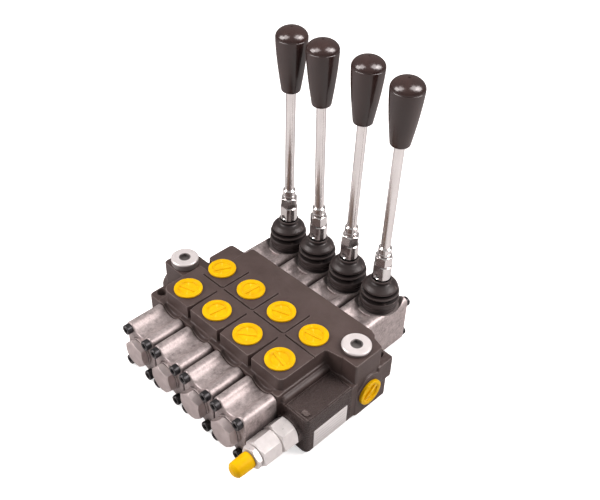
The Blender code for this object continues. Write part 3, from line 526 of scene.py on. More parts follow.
def soft(points, radius, steps=4, closed=False):
    """A profile with its corners rounded by up to radius; nearly straight ones stay."""
    out = []
    count = len(points)
    for i, point in enumerate(points):
        if not closed and i in (0, count - 1):
            out.append(tuple(point))
            continue
        here = Vector(point)
        back = Vector(points[i - 1]) - here
        ahead = Vector(points[(i + 1) % count]) - here
        if back.length < 1e-6 or ahead.length < 1e-6:
            continue
        half = half_angle(back.normalized(), ahead.normalized())
        if half > math.radians(86):
            out.append(tuple(point))
            continue
        reach = min(radius / math.tan(half), back.length * 0.48, ahead.length * 0.48)
        start = here + back.normalized() * reach
        end = here + ahead.normalized() * reach
        for k in range(steps + 1):
            t = k / steps
            bend = start * (1 - t) ** 2 + here * 2 * t * (1 - t) + end * t * t
            out.append((bend.x, bend.y))
    return out


def hexagon(x, y, across, turn=0.0):
    radius = across / math.sqrt(3)
    return [(x + radius * math.cos(math.radians(60 * k + turn)),
             y + radius * math.sin(math.radians(60 * k + turn))) for k in range(6)]


def lobed(x, lobe_z, steps=12):
    """Section of caps and housings: a lobe round each screw, hollowed above and below."""
    low, high = lobe_z
    mid = (low + high) / 2
    half = (high - low) / 2
    hollow = (LOBE_X ** 2 + LOBE_DIP ** 2 - LOBE_R ** 2) / (2 * (LOBE_R + LOBE_DIP))
    hollow_z = half - LOBE_DIP + hollow
    touch = math.degrees(math.atan2(hollow_z - half, -LOBE_X))
    swing = math.degrees(math.asin(LOBE_X / (hollow + LOBE_R)))
    top = arc(LOBE_X, half, LOBE_R, 0, touch, steps)
    top += arc(0, hollow_z, hollow, -90 + swing, -90, steps)[1:]
    top += [(-across, up) for across, up in reversed(top[:-1])]
    ring = top + [(-across, -up) for across, up in top]
    return [(x + across, mid + up) for across, up in ring]


# ---- solids, as bmeshes in metres ------------------------------------------------------
def stood(axis, first, second, along):
    """A point with its length laid along the named axis."""
    return {"Z": (first, second, along), "Y": (first, along, second),
            "X": (along, first, second)}[axis]


def prism(points, low, high, axis="Z"):
    """An outline drawn out along an axis. Axis Y takes (x, z) points, axis X (y, z)."""
    solid = bmesh.new()
    lower, upper = ([solid.verts.new([c * MM for c in stood(axis, *point, level)])
                     for point in points] for level in (low, high))
    solid.faces.new(lower)
    solid.faces.new(upper)
    for i in range(len(points)):
        j = (i + 1) % len(points)
        solid.faces.new((lower[i], lower[j], upper[j], upper[i]))
    return solid


def slab(corners, low, high, axis="Z", steps=7):
    return prism(rounded(corners, steps), low, high, axis)


def box(x_span, y_span, z_span):
    (left, right), (front, back) = x_span, y_span
    return prism([(left, front), (right, front), (right, back), (left, back)], *z_span)


def turned(profile, centre=(0, 0, 0), axis="Z", steps=64, wave=None):
    """A (radius, height) profile spun about an axis; wave scales single points' radii.

    A profile that starts off the axis is closed into a ring.
    """
    solid = bmesh.new()
    rings = []
    for radius, height in profile:
        ring = []
        for k in range(steps if radius > 1e-6 else 1):
            angle = 2 * math.pi * k / steps
            reach = radius * (wave(k, radius, height) if wave else 1.0)
            local = stood(axis, reach * math.cos(angle), reach * math.sin(angle), height)
            ring.append(solid.verts.new([(local[i] + centre[i]) * MM for i in range(3)]))
        rings.append(ring)
    pairs = list(zip(rings, rings[1:]))
    if profile[0][0] > 1e-6:
        pairs.append((rings[-1], rings[0]))
    for one, two in pairs:
        for k in range(steps):
            m = (k + 1) % steps
            if len(one) == 1:
                solid.faces.new((one[0], two[k], two[m]))
            elif len(two) == 1:
                solid.faces.new((one[k], one[m], two[0]))
            else:
                solid.faces.new((one[k], one[m], two[m], two[k]))
    return solid


def cylinder(radius, low, high, centre, axis="Z", steps=48):
    return turned([(0, low), (radius, low), (radius, high), (0, high)], centre, axis, steps)


# ---- objects ---------------------------------------------------------------------------
def mesh_object(name, solid):
    bmesh.ops.recalc_face_normals(solid, faces=solid.faces)
    mesh = bpy.data.meshes.new(name)
    solid.to_mesh(mesh)
    solid.free()
    obj = bpy.data.objects.new(name, mesh)
    bpy.context.scene.collection.objects.link(obj)
    return obj


def settle(obj):
    """Make the object's modifiers real."""
    bpy.context.view_layer.update()
    graph = bpy.context.evaluated_depsgraph_get()
    mesh = bpy.data.meshes.new_from_object(obj.evaluated_get(graph))
    mesh.name = obj.name
    obj.modifiers.clear()
    obj.data = mesh


def combine(obj, part, operation="UNION"):
    """Boolean of obj with another object, which is used up."""
    modifier = obj.modifiers.new("cut", "BOOLEAN")
    modifier.operation = operation
    modifier.solver = "MANIFOLD"
    modifier.object = part
    settle(obj)
    bpy.data.objects.remove(part, do_unlink=True)


def cut(obj, *solids):
    for solid in solids:
        combine(obj, mesh_object("tool", solid), "DIFFERENCE")


def add(obj, *solids):
    for solid in solids:
        combine(obj, mesh_object("tool", solid))


def trim(obj, solid):
    """Keep only what lies inside the solid."""
    combine(obj, mesh_object("tool", solid), "INTERSECT")


def bevelled(obj, width, segments=3, angle=35):
    modifier = obj.modifiers.new("edge", "BEVEL")
    modifier.width = width * MM
    modifier.segments = segments
    modifier.limit_method = "ANGLE"
    modifier.angle_limit = math.radians(angle)
    modifier.use_clamp_overlap = True
    settle(obj)


def smooth_shaded(obj, angle=35, weighted=False):
    obj.data.shade_smooth()
    obj.data.set_sharp_from_angle(angle=math.radians(angle))
    if weighted:
        modifier = obj.modifiers.new("normals", "WEIGHTED_NORMAL")
        modifier.keep_sharp = True


def dressed(obj, material, body, slot, *nodes):
    """Give the object its material, the body it rides on and the nodes it replaces. The slot argument
    is not used.
    """
    obj.data.materials.clear()
    obj.data.materials.append(material)
    if body:
        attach(obj, body)
    if nodes:
        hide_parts(*nodes)


def chamfered_hex(name, x, z, across, turn, front, back, edge):
    """Hexagon along Y whose corners are turned off at both ends."""
    obj = mesh_object(name, prism(hexagon(x, z, across, turn), front, back, "Y"))
    flat, tip = across / 2 - 0.25, across / math.sqrt(3) + 0.4
    rise = (tip - flat) * 0.58
    trim(obj, turned([(0, front - 0.01), (flat, front - 0.01), (tip, front + rise),
                      (tip, back - rise), (flat, back + 0.01), (0, back + 0.01)],
                     (x, 0, z), "Y", 96))
    bevelled(obj, edge, 2, 30)
    return obj


# ---- cast body -------------------------------------------------------------------------
def body_blocks():
    """Solids of the rough casting, outlines as (x, y, corner radius)."""
    left, right = SECTIONS[0] - HALF_PITCH, SECTIONS[3] + 17.4
    lug_x, lug_y = LUG_LEFT
    back_lug_x = LUG_RIGHT[0]
    return [
        # lower block and upper block
        slab([(left, FRONT_Y, 2), (right, FRONT_Y, 2), (right, BACK_Y, 2), (left, BACK_Y, 2)],
             0, 45.6),
        slab([(-70.2, -32.5, 7), (70.0, -32.5, 5), (70.0, 14.5, 3), (84, 17, 0),
              (87.2, 52.8, 3), (80.6, 55.8, 2), (-57.2, 55.8, 3), (-58.2, 8, 0),
              (-70.2, 8, 0)], 20, TOP_Z),
        # left side: back shoulder and boss
        slab([(-56, 47.2, 0), (-74.3, 46.3, 3), (-74.0, 19, 3), (-56, 19, 0)], 3, TOP_Z - 0.4),
        slab([(-60, 18.2, 0), (-99.5, 18.2, 4), (-99.5, -8.6, 2.5), (-60, -8.6, 0)],
             1.2, BOSS_LEFT_Z),
        # right boss
        slab([(66, 17.4, 0), (98.8, 17.9, 1.5), (98.8, 47.8, 3.0), (86, 51.5, 0), (66, 51, 0)],
             1.2, TOP_Z),
        # side port pads, outlines as (y, z, corner radius)
        slab([(19.2, 1.6, 2), (48, 1.6, 2), (48, 32, 10), (38, 38.2, 10), (29, 38.2, 8),
              (19.2, 27, 8)], 90, SIDE_X, "X"),
        slab([(-10.3, 1.6, 3), (20.3, 1.6, 3), (20.3, 38, 12), (-10.3, 38, 12)],
             LEFT_X, -90, "X"),
        # relief block, the rounded ridge on its left and the ring round the relief bore
        slab([(68, -34, 0), (99.7, -34, 4.2), (99.7, 20, 0), (68, 20, 0)], 2.8, LUG_TOP_Z),
        turned([(0, -33), (3.6, -33), (4.4, -31.5), (4.8, 18), (0, 18)], (71.2, 0, 38.4), "Y", 48),
        cylinder(12.2, -37.6, -30, RELIEF, "Y", 64),
        # left lug
        slab([(lug_x - 5.4, lug_y - 9.1, 3), (-69, lug_y - 9.1, 0), (-69, -2, 0),
              (lug_x - 5.4, -2, 0)], 0, LUG_TOP_Z - 1.0, steps=8),
        # back right lug, and the narrower foot under it
        slab([(back_lug_x - 12, 44, 0), (100.4, 44, 0), (100.4, 61.6, 2.4),
              (back_lug_x - 9, 61.6, 3)], 19, LUG_TOP_Z + 0.4),
        slab([(back_lug_x - 12, 40, 0), (99.6, 40, 0), (99.6, 57.6, 3),
              (back_lug_x - 12, 57.6, 0)], 0, 26),
    ]


def mould_lines():
    """Raised border and small boss left by the mould on the relief block's top."""
    half_width = 0.45
    corners = [(76.9, -32.0), (97.9, -32.0), (97.9, 13.6), (76.9, 13.6)]
    made = []
    for ends in zip(corners, corners[1:] + corners[:1]):
        spans = [(min(pair) - half_width, max(pair) + half_width) for pair in zip(*ends)]
        made.append(box(*spans, (37, LUG_TOP_Z + 0.45)))
    made.append(slab([(89.5, -30.6, 1), (95.4, -30.6, 1), (95.4, -26.4, 1), (89.5, -26.4, 1)],
                     37, LUG_TOP_Z + 1.0, steps=3))
    return made


def flared(x, stations, low, high):
    """Groove along Y, symmetric about x; stations are (half width, y), back to front."""
    right = [(x + half, y) for half, y in stations]
    left = [(x - half, y) for half, y in reversed(stations)]
    return prism(left[-1:] + right + left[:-1], low, high)


def soft_cutters():
    """Scallops and seam mouths along the front, rounded over with the casting."""
    cuts = [cylinder(13.4, FRONT_Y - 2, -33.4, (x, 0, 53.6), "Y", 96) for x in SECTIONS]
    stations = [(0.5, -24), (1.4, -30), (2.6, -35.5)]
    return cuts + [flared(x, stations, 45.7, TOP_Z + 2) for x in SEAMS]


def seam_cutters():
    """Deep narrow grooves between sections, each with a wider shallow lip."""
    cuts = []
    for x in SEAMS:
        cuts.append(flared(x, [(0.55, -3), (0.85, -29), (1.3, -35)], 53.4, TOP_Z + 2))
        cuts.append(flared(x, [(0.85, -2.6), (1.25, -29), (2.0, -35)], TOP_Z - 0.45, TOP_Z + 2))
    return cuts


def groove_cutters():
    """Grooves across the top, which turn back along the seams except in the last section."""
    y, turn_back_y, end_x = 2.9, 31.4, 75
    cuts = []
    for x, start in zip(SECTIONS, (-59.4, -33.5, 2.5, 38.5)):
        seam = x + HALF_PITCH
        for half, floor_z in ((0.55, 56.3), (0.9, TOP_Z - 0.4)):
            if x == SECTIONS[-1]:
                line = [(start - half, y - half), (end_x, y - half), (end_x, y + half),
                        (start - half, y + half)]
            else:
                line = rounded([(start - half, y - half, 0), (seam + half, y - half, 3.6),
                                (seam + half, turn_back_y + half, 0),
                                (seam - half, turn_back_y + half, 0),
                                (seam - half, y + half, 2.6), (start - half, y + half, 0)])
            cuts.append(prism(line, floor_z, TOP_Z + 2))
    return cuts


def bore_cutters():
    port = [(0, 22), (5.0, 22), (5.0, 38), (9.5, 38), (9.5, TOP_Z - 1.2), (10.6, TOP_Z + 0.4),
            (10.6, TOP_Z + 2), (0, TOP_Z + 2)]
    cuts = []
    for x in SECTIONS:
        cuts += [turned(port, (x, y, 0), "Z", 64) for y in PORT_ROWS]
        cuts.append(cylinder(8.55, FRONT_Y - 2, BACK_Y + 2, (x, 0, SPOOL_Z), "Y", 48))
    for centre in (PLUG_LEFT, PLUG_RIGHT):
        cuts.append(cylinder(8.6, 30, TOP_Z + 2, (centre.x, centre.y, 0), "Z", 64))
    cuts.append(turned([(0, 78), (9.5, 80), (9.5, SIDE_X + 3), (0, SIDE_X + 3)],
                       (0, PORT_RIGHT.y, PORT_RIGHT.z), "X", 64))
    # groove between the ridge and the relief block
    cuts.append(box((75.1, 76.3), (-36, 15.0), (37.2, 46)))
    cuts.append(turned([(0, -SIDE_X - 6), (9.5, -SIDE_X - 6), (9.5, -80), (0, -78)],
                       (0, PORT_LEFT.y, PORT_LEFT.z), "X", 64))
    cuts.append(turned([(0, -42), (10.4, -42), (10.4, -14), (4.0, -12), (4.0, 4), (0, 4)],
                       RELIEF, "Y", 64))
    return cuts + [cylinder(4.5, -2, 45, (*lug, 0)) for lug in (LUG_LEFT, LUG_RIGHT)]


def cast_body():
    blocks = body_blocks()
    obj = mesh_object("cast_body", blocks[0])
    add(obj, *blocks[1:])
    cut(obj, *soft_cutters())
    # voxels and smoothing give the soft fillets of a casting
    remesh = obj.modifiers.new("skin", "REMESH")
    remesh.mode = "VOXEL"
    remesh.voxel_size = 0.5 * MM
    remesh.adaptivity = 0.0
    smooth = obj.modifiers.new("fillet", "SMOOTH")
    smooth.factor = 0.5
    smooth.iterations = 8
    settle(obj)
    # machined faces: underside, foot of the front and front flange
    cut(obj, box((-140, 140), (-80, 100), (-8, 0.12)),
        box((-140, 140), (-60, FRONT_Y + 0.1), (-4, 14)),
        box((-74, 73), (-60, FRONT_Y + 0.1), (-4, 50)))
    add(obj, *mould_lines())
    cut(obj, *seam_cutters(), *groove_cutters(), *bore_cutters())
    smooth_shaded(obj, 40)
    dressed(obj, PAINT, ROOT, "body_paint", "valve_body")


cast_body()


# ---- plugs in the ports ----------------------------------------------------------------
SIDE_PLUG = {"flange": 11.3, "high": 2.8, "deep": 1.7}
# turn of each grip bar, degrees
PORT_TURNS = {"a": (18, 82, 38, -12), "b": (64, 88, 22, 12)}


def port_plug(node, centre, turn, tilt=0, flange=11.7, high=1.8, deep=1.0):
    """Flanged plug with a grip bar across its recess; tilt lays it over about Y."""
    floor_z = high - deep
    profile = soft([(8.8, -9.5), (8.8, 0.02), (flange, 0.02), (flange, high - 0.1), (8.6, high),
                    (8.2, high - 0.35), (7.6, high - 0.3), (7.3, floor_z), (0, floor_z)], 0.45)
    obj = mesh_object(f"{node}_cover", turned([(0, -9.5)] + profile, steps=72))
    long, wide, corner = 7.9, 1.35, 0.7
    grip = mesh_object(f"{node}_cover_grip", slab(
        [(-long, -wide, corner), (long, -wide, corner), (long, wide, corner),
         (-long, wide, corner)], floor_z - 0.4, high - 0.3, steps=4))
    bevelled(grip, 0.4)
    grip.data.transform(Matrix.Rotation(math.radians(turn), 4, "Z"))
    combine(obj, grip)
    obj.data.transform(Matrix.Translation(Vector(centre) * MM)
                       @ Matrix.Rotation(math.radians(tilt), 4, "Y"))
    smooth_shaded(obj, 38)
    dressed(obj, YELLOW, ROOT, "yellow_plastic", node)


for row, y in zip("ab", PORT_ROWS):
    for number, x in enumerate(SECTIONS, 1):
        port_plug(f"port_plug_{row}{number}", (x, y, TOP_Z), PORT_TURNS[row][number - 1])
port_plug("side_port_plug_right", (SIDE_X, PORT_RIGHT.y, PORT_RIGHT.z), -50, 90, **SIDE_PLUG)
port_plug("side_port_plug_left", (LEFT_X, PORT_LEFT.y, PORT_LEFT.z), 35, -90, **SIDE_PLUG)


def corner_plug(side, centre, seat):
    """Round screw plug with a hexagon socket."""
    node = f"corner_plug_{side}"
    top = top_of(node)
    x, y = centre.x, centre.y
    profile = soft([(8.0, seat - 14), (8.0, seat + 0.02), (11.2, seat + 0.02), (11.2, seat + 0.8),
                    (11.7, seat + 1.0), (11.7, top - 0.6), (11.1, top), (6.0, top),
                    (5.6, top - 0.12), (0, top - 0.12)], 0.22, 3)
    obj = mesh_object(f"screw_plug_{side}", turned([(0, seat - 14)] + profile, (x, y, 0), "Z", 96))
    socket = prism(hexagon(x, y, 8.0, 20), top - 3.0, top + 2)
    lead = turned([(0, top - 0.4), (4.3, top - 0.4), (5.0, top + 0.1), (0, top + 0.1)],
                  (x, y, 0), "Z", 48)
    cut(obj, socket, lead)
    smooth_shaded(obj, 30)
    dressed(obj, PLUG_ZINC[side], ROOT, "zinc_steel", node)


corner_plug("left", PLUG_LEFT, BOSS_LEFT_Z)
corner_plug("right", PLUG_RIGHT, TOP_Z)


# ---- relief valve, profiles as (radius, y) ---------------------------------------------
def relief_cartridge():
    x, _, z = RELIEF
    obj = chamfered_hex("relief_hexagons", x, z, across=22.0, turn=51, front=-52.0, back=-37.9,
                        edge=0.28)
    front = chamfered_hex("relief_front_hexagon", x, z, across=20.0, turn=42, front=-70.4,
                          back=-52.8, edge=0.28)
    combine(obj, front)
    add(obj, cylinder(10.0, -39, -16, RELIEF, "Y", 64), cylinder(9.2, -54, -50, RELIEF, "Y", 64))
    cut(obj, turned([(0, -55), (5.2, -54), (5.2, -17), (3.4, -15.2), (3.4, -10), (0, -10)],
                    RELIEF, "Y", 48),
        cylinder(4.5, -74, -53, RELIEF, "Y"))
    smooth_shaded(obj, 32, True)
    dressed(obj, ZINC, ROOT, "zinc_steel", "relief_cartridge")


def relief_lock_nut():
    x, _, z = RELIEF
    nut = chamfered_hex("relief_jam_nut", x, z, across=17.0, turn=80, front=-75.4, back=-70.7,
                        edge=0.22)
    cut(nut, cylinder(4.5, -80, -65, RELIEF, "Y"))
    smooth_shaded(nut, 32, True)
    dressed(nut, ZINC, ROOT, "zinc_steel", "relief_lock_nut")


def relief_dust_cap():
    profile = soft([(0, -92.6), (3.0, -92.6), (3.3, -92.2), (4.3, -92.0), (6.3, -90.2),
                    (6.55, -86.0), (6.7, -77.0), (6.7, -75.7), (4.6, -75.7), (4.6, -88.6),
                    (0, -88.6)], 1.1, 5)
    cap = mesh_object("relief_dust_cap", turned(profile, RELIEF, "Y"))
    smooth_shaded(cap, 40)
    dressed(cap, YELLOW, ROOT, "yellow_plastic", "relief_cap")


relief_cartridge()
relief_lock_nut()
relief_dust_cap()


# ---- spring caps, end plugs, screws, springs -------------------------------------------
END_PLUG_TURNS = (-16, -12, -20, -16)


def spring_cap(number, x):
    obj = mesh_object(f"spring_cap_{number}_casting",
                      prism(lobed(x, CAP_LOBE_Z), CAP_FRONT_Y, FRONT_Y - 0.05, "Y"))
    bevelled(obj, 1.0, 4, 40)
    bore = (x, 0, SPOOL_Z)
    collar = soft([(0, CAP_FRONT_Y - 1.6), (12.2, CAP_FRONT_Y - 1.6), (12.6, CAP_FRONT_Y + 1),
                   (12.6, CAP_FRONT_Y + 4), (0, CAP_FRONT_Y + 4)], 0.5, 3)
    add(obj, turned(collar, bore, "Y", 72))
    cut(obj, cylinder(11.0, -63, -30, bore, "Y"), cylinder(8.6, -75, -60, bore, "Y"))
    smooth_shaded(obj, 35, True)
    dressed(obj, CAST, ROOT, "die_cast_metal", f"spring_cap_{number}")


def end_plug(number, x):
    node = f"end_plug_{number}"
    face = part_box(node)[0].y / MM
    obj = chamfered_hex(f"{node}_hexagon", x, SPOOL_Z, across=22.0,
                        turn=END_PLUG_TURNS[number - 1], front=face, back=CAP_FRONT_Y - 1.65,
                        edge=0.3)
    add(obj, cylinder(8.0, face + 3, -60.4, (x, 0, SPOOL_Z), "Y"))
    smooth_shaded(obj, 32, True)
    dressed(obj, PLUG_METAL, ROOT, "die_cast_metal", node)


def screw_mesh():
    """M5 socket head screw facing -Y: knurled head, chamfered rim, hexagon socket."""
    def knurl(step, radius, y):
        return 0.972 if (step % 2 and radius > 4.0 and -4.2 < y < -0.4) else 1.0

    profile = [(0, -5.0), (3.5, -5.0), (3.85, -4.86), (4.2, -4.4), (4.25, -4.1), (4.25, -0.6),
               (4.1, -0.3), (4.0, 0.0), (2.5, 0.0), (2.5, 32.0), (2.2, 32.6), (0, 32.6)]
    head = mesh_object("screw_master", turned(profile, axis="Y", steps=72, wave=knurl))
    lead = [(0, -6), (2.9, -6), (2.7, -4.98), (2.0, -4.5), (0, -4.5)]
    cut(head, prism(hexagon(0, 0, 4.1), -7, -2.3, "Y"), turned(lead, axis="Y", steps=36))
    mesh = head.data
    bpy.data.objects.remove(head, do_unlink=True)
    return mesh


SCREW = screw_mesh()


def screw(name, place, turn, facing_back=False):
    obj = bpy.data.objects.new(name, SCREW.copy())
    bpy.context.scene.collection.objects.link(obj)
    obj.data.transform(Matrix.Translation(Vector(place) * MM)
                       @ Matrix.Rotation(math.pi if facing_back else 0.0, 4, "Z")
                       @ Matrix.Rotation(math.radians(turn), 4, "Y"))
    smooth_shaded(obj, 28)
    dressed(obj, OXIDE, ROOT, "black_oxide", "case_screws")


def screw_places(x, y, heights):
    return [(x + side, y, z) for side in (-LOBE_X, LOBE_X) for z in heights]


def coil(name, centre, mean_radius, wire, front, back, turns, node):
    """Spring along Y; wire is the wire's radius."""
    per_turn, sides = 36, 12
    solid = bmesh.new()
    steps = turns * per_turn
    rings = []
    for k in range(steps + 1):
        angle = 2 * math.pi * k / per_turn
        y = front + wire + (back - front - 2 * wire) * k / steps
        out = Vector((math.cos(angle), 0, math.sin(angle)))
        ring = []
        for m in range(sides):
            around = 2 * math.pi * (m + 0.5) / sides
            point = (out * (mean_radius + wire * math.cos(around))
                     + Vector((0, y + wire * math.sin(around), 0)))
            ring.append(solid.verts.new((point + Vector(centre)) * MM))
        rings.append(ring)
    for one, two in zip(rings, rings[1:]):
        for m in range(sides):
            n = (m + 1) % sides
            solid.faces.new((one[m], one[n], two[n], two[m]))
    solid.faces.new(rings[0])
    solid.faces.new(rings[-1])
    obj = mesh_object(name, solid)
    smooth_shaded(obj, 60)
    dressed(obj, SPRING, ROOT, "spring_steel", node)
    return obj


for number, x in enumerate(SECTIONS, 1):
    spring_cap(number, x)
    end_plug(number, x)
    for k, place in enumerate(screw_places(x, CAP_FRONT_Y + 0.02, CAP_LOBE_Z)):
        screw(f"cap_screw_{number}_{k + 1}", place, 13 * number + 29 * k)
    for k, place in enumerate(screw_places(x, HOUSING_BACK_Y - 0.02, HOUSING_SCREW_Z)):
        screw(f"housing_screw_{number}_{k + 1}", place, 17 * number + 31 * k, True)
    spring = coil(f"centering_coil_{number}", (x, 0, SPOOL_Z), mean_radius=8.2, wire=1.1,
                  front=-58.0, back=-39.6, turns=3, node=f"centering_spring_{number}")
    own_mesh(spring)

spring = coil("relief_coil", RELIEF, mean_radius=3.6, wire=0.75, front=-49.2, back=-28.0,
              turns=5, node="relief_spring")
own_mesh(spring)


# ---- lever housings, boots, levers -----------------------------------------------------
# lean of each rod about X and Y, degrees, and the height it leans from
LEAN = ((0.4, 0.0), (-0.2, -1.9), (-1.9, -0.3), (-0.3, 0.9))
LEAN_Z = 84.0
NUT_TURNS = (10, 25, 5, 18)
SOCKET_LOW_Z, SOCKET_FLOOR_Z = 73.3, 77.5
SOCKET_FLAT = 6.4
KNOB_LOW_Z, KNOB_HIGH_Z = 198.4, 251.2
KNOB_NECK_R, KNOB_R, KNOB_DOME = 7.8, 12.7, 8.2
KNOB_NECK = 1.5
# boot bellows as (radius, height above the boot's foot)
BOOT_OUTER = [
    (15.0, 0), (15.3, 1.8), (15.8, 4.4), (15.4, 5.0), (15.9, 5.7), (16.5, 7.2), (16.4, 9.6),
    (15.9, 10.6), (14.6, 10.9), (11.4, 11.6), (11.4, 13.2), (15.2, 14.6), (16.0, 15.4),
    (15.7, 16.6), (14.2, 16.9), (11.2, 17.1), (11.2, 18.6), (14.0, 19.2), (14.6, 20.0),
    (14.0, 21.3), (11.6, 23.6), (8.8, 24.9), (7.9, 25.8), (8.3, 26.9), (8.9, 27.9),
]
BOOT_INNER = [
    (6.9, 24.3), (10.2, 20.9), (10.0, 17.9), (13.0, 15.7), (10.2, 13.2), (10.2, 11.4),
    (13.4, 9.2), (13.4, 0),
]


def lever_housing(number, x):
    obj = mesh_object(f"lever_housing_{number}_casting",
                      prism(lobed(x, HOUSING_LOBE_Z), BACK_Y + 0.05, HOUSING_BACK_Y, "Y"))
    bevelled(obj, 0.9, 4, 40)
    pivot = (x, PIVOT_Y, 0)
    seat = mesh_object("seat", cylinder(SEAT_R + 1.6, 30, SEAT_Z + 0.6, pivot, "Z", 128))
    bevelled(seat, 0.45, 3, 40)
    trim(seat, box((x - LOBE_X - LOBE_R, x + LOBE_X + LOBE_R),
                   (PIVOT_Y - 30, PIVOT_Y + 30), (20, 60)))
    combine(obj, seat)
    dish = [(0, SEAT_Z), (SEAT_R, SEAT_Z), (SEAT_R + 0.3, SEAT_Z + 0.7),
            (SEAT_R + 2.6, SEAT_Z + 3.2), (SEAT_R + 5.0, SEAT_Z + 4.6), (SEAT_R + 5.0, 60), (0, 60)]
    cut(obj, turned(dish, pivot, "Z", 128), cylinder(8.8, 50, 110, (x, 0, SPOOL_Z), "Y"),
        cylinder(7.8, SPOOL_Z, 60, pivot))
    smooth_shaded(obj, 35, True)
    dressed(obj, CAST, ROOT, "die_cast_metal", f"lever_housing_{number}")


def lever_boot(number, x):
    node = f"lever_boot_{number}"
    foot = SEAT_Z + 0.05
    top = top_of(node)
    profile = [(radius, foot + height) for radius, height in BOOT_OUTER]
    profile += [(8.5, top), (7.6, top), (6.9, top - 1.6)]
    profile += [(radius, foot + height) for radius, height in BOOT_INNER]
    obj = mesh_object(f"{node}_rubber",
                      turned(soft(profile, 0.45, closed=True), (x, PIVOT_Y, 0), "Z", 72))
    smooth_shaded(obj, 50)
    dressed(obj, RUBBER, None, "black_rubber", node)
    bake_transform(obj)


def lever_socket(number, x):
    """Stem with a small ball in the spool, the pivot ball, and a cup with two flats."""
    low, top = SOCKET_LOW_Z, top_of(f"lever_socket_{number}")
    profile = [(0, SPOOL_Z - 4.0)] + ball(4.0, SPOOL_Z, range(-80, 56, 9))
    profile += [(2.6, SPOOL_Z + 4.5), (3.0, PIVOT_Z - 6.4)]
    profile += ball(7.0, PIVOT_Z, range(-55, 49, 8))
    profile += [(4.8, PIVOT_Z + 6.2), (4.8, low - 0.2), (5.6, low), (6.9, low), (7.4, low + 0.5),
                (7.4, top - 0.6), (6.8, top), (4.9, top), (4.6, top - 0.3),
                (4.6, SOCKET_FLOOR_Z), (0, SOCKET_FLOOR_Z)]
    obj = mesh_object(f"lever_{number}_socket", turned(profile, (x, PIVOT_Y, 0), "Z", 72))
    front, back = PIVOT_Y - 12, PIVOT_Y + 12
    front_flat = PIVOT_Y - SOCKET_FLAT
    dimple = [(0, front), (2.7, front), (2.6, front_flat - 0.1), (1.2, front_flat + 1.3),
              (0, front_flat + 1.3)]
    cut(obj, box((x - 12, x + 12), (PIVOT_Y + SOCKET_FLAT, back), (72, 90)),
        box((x - 12, x + 12), (front, front_flat), (72, 90)),
        cylinder(1.5, front, back, (x, 0, 75.6), "Y", 32),
        turned(dimple, (x, 0, 75.9), "Y", 40))
    smooth_shaded(obj, 30)
    dressed(obj, CHROME, f"lever_{number}", "chrome", f"lever_socket_{number}")


def lever_nut(number, x, lean):
    pivot = (x, PIVOT_Y, 0)
    nut = mesh_object(f"lever_{number}_nut",
                      prism(hexagon(x, PIVOT_Y, 13.0, NUT_TURNS[number - 1]), 86.8, 95.8))
    trim(nut, turned([(0, 86.79), (6.1, 86.79), (7.9, 87.9), (7.9, 94.7), (6.1, 95.81),
                      (0, 95.81)], pivot, "Z", 72))
    bevelled(nut, 0.2, 2, 30)
    cut(nut, turned([(0, 80), (4.6, 80), (4.6, 94.9), (5.2, 95.9), (5.2, 99), (0, 99)],
                    pivot, "Z", 48))
    nut.data.transform(lean)
    smooth_shaded(nut, 30, True)
    dressed(nut, CHROME, f"lever_{number}", "chrome", f"lever_lock_nut_{number}")


def lever_rod(number, x, lean):
    """Plain rod with two collars above the nut."""
    profile = [(0, 78.5), (3.6, 78.5), (4.0, 78.9), (4.0, 96.1), (5.0, 96.1), (5.4, 96.5),
               (5.4, 98.3), (5.0, 98.6), (5.0, 98.9), (5.4, 99.2), (5.4, 103.4), (4.8, 104.0),
               (4.0, 104.1), (4.0, 214.5), (3.5, 215), (0, 215)]
    rod = mesh_object(f"lever_{number}_rod", turned(profile, (x, PIVOT_Y, 0), "Z", 56))
    rod.data.transform(lean)
    smooth_shaded(rod, 30)
    dressed(rod, CHROME, f"lever_{number}", "chrome", f"lever_rod_{number}")


def lever_knob(number, x, lean):
    """Knob that swells from its neck to a fine seam, with a dome and a dimple on top."""
    low, high, wide = KNOB_LOW_Z, KNOB_HIGH_Z, KNOB_R
    widest = high - KNOB_DOME
    shape = [(4.6, low), (6.6, low), (7.3, low + 0.25), (7.65, low + 0.8),
             (KNOB_NECK_R + 0.03, low + KNOB_NECK)]
    for k in range(1, 25):
        t = k / 25
        shape.append((KNOB_NECK_R + (wide - KNOB_NECK_R) * (1 - (1 - t) ** 1.454),
                      low + KNOB_NECK + (widest - low - KNOB_NECK) * t))
    shape += [(wide - 0.01, widest - 0.40), (wide - 0.16, widest - 0.20), (wide, widest)]
    shape += [(wide * math.cos(math.radians(angle)) ** 0.94,
               widest + KNOB_DOME * math.sin(math.radians(angle))) for angle in range(5, 90, 5)]
    shape += [(1.05, high - 0.03), (0.8, high - 0.75), (0, high - 0.95)]
    bore = [(4.6, 215.5), (0, 215.5)]
    knob = mesh_object(f"lever_{number}_knob",
                       turned(shape[::-1] + bore, (x, PIVOT_Y, 0), "Z", 80))
    knob.data.transform(lean)
    smooth_shaded(knob, 32)
    dressed(knob, KNOB, f"lever_{number}", "knob_plastic", f"lever_knob_{number}")


for number, x in enumerate(SECTIONS, 1):
    lever_housing(number, x)
    lever_boot(number, x)
    lever_socket(number, x)
    foot = Matrix.Translation(Vector((x, PIVOT_Y, LEAN_Z)) * MM)
    about_x, about_y = (math.radians(angle) for angle in LEAN[number - 1])
    lean = (foot @ Matrix.Rotation(about_x, 4, "X") @ Matrix.Rotation(about_y, 4, "Y")
            @ foot.inverted())
    lever_nut(number, x, lean)
    lever_rod(number, x, lean)
    lever_knob(number, x, lean)


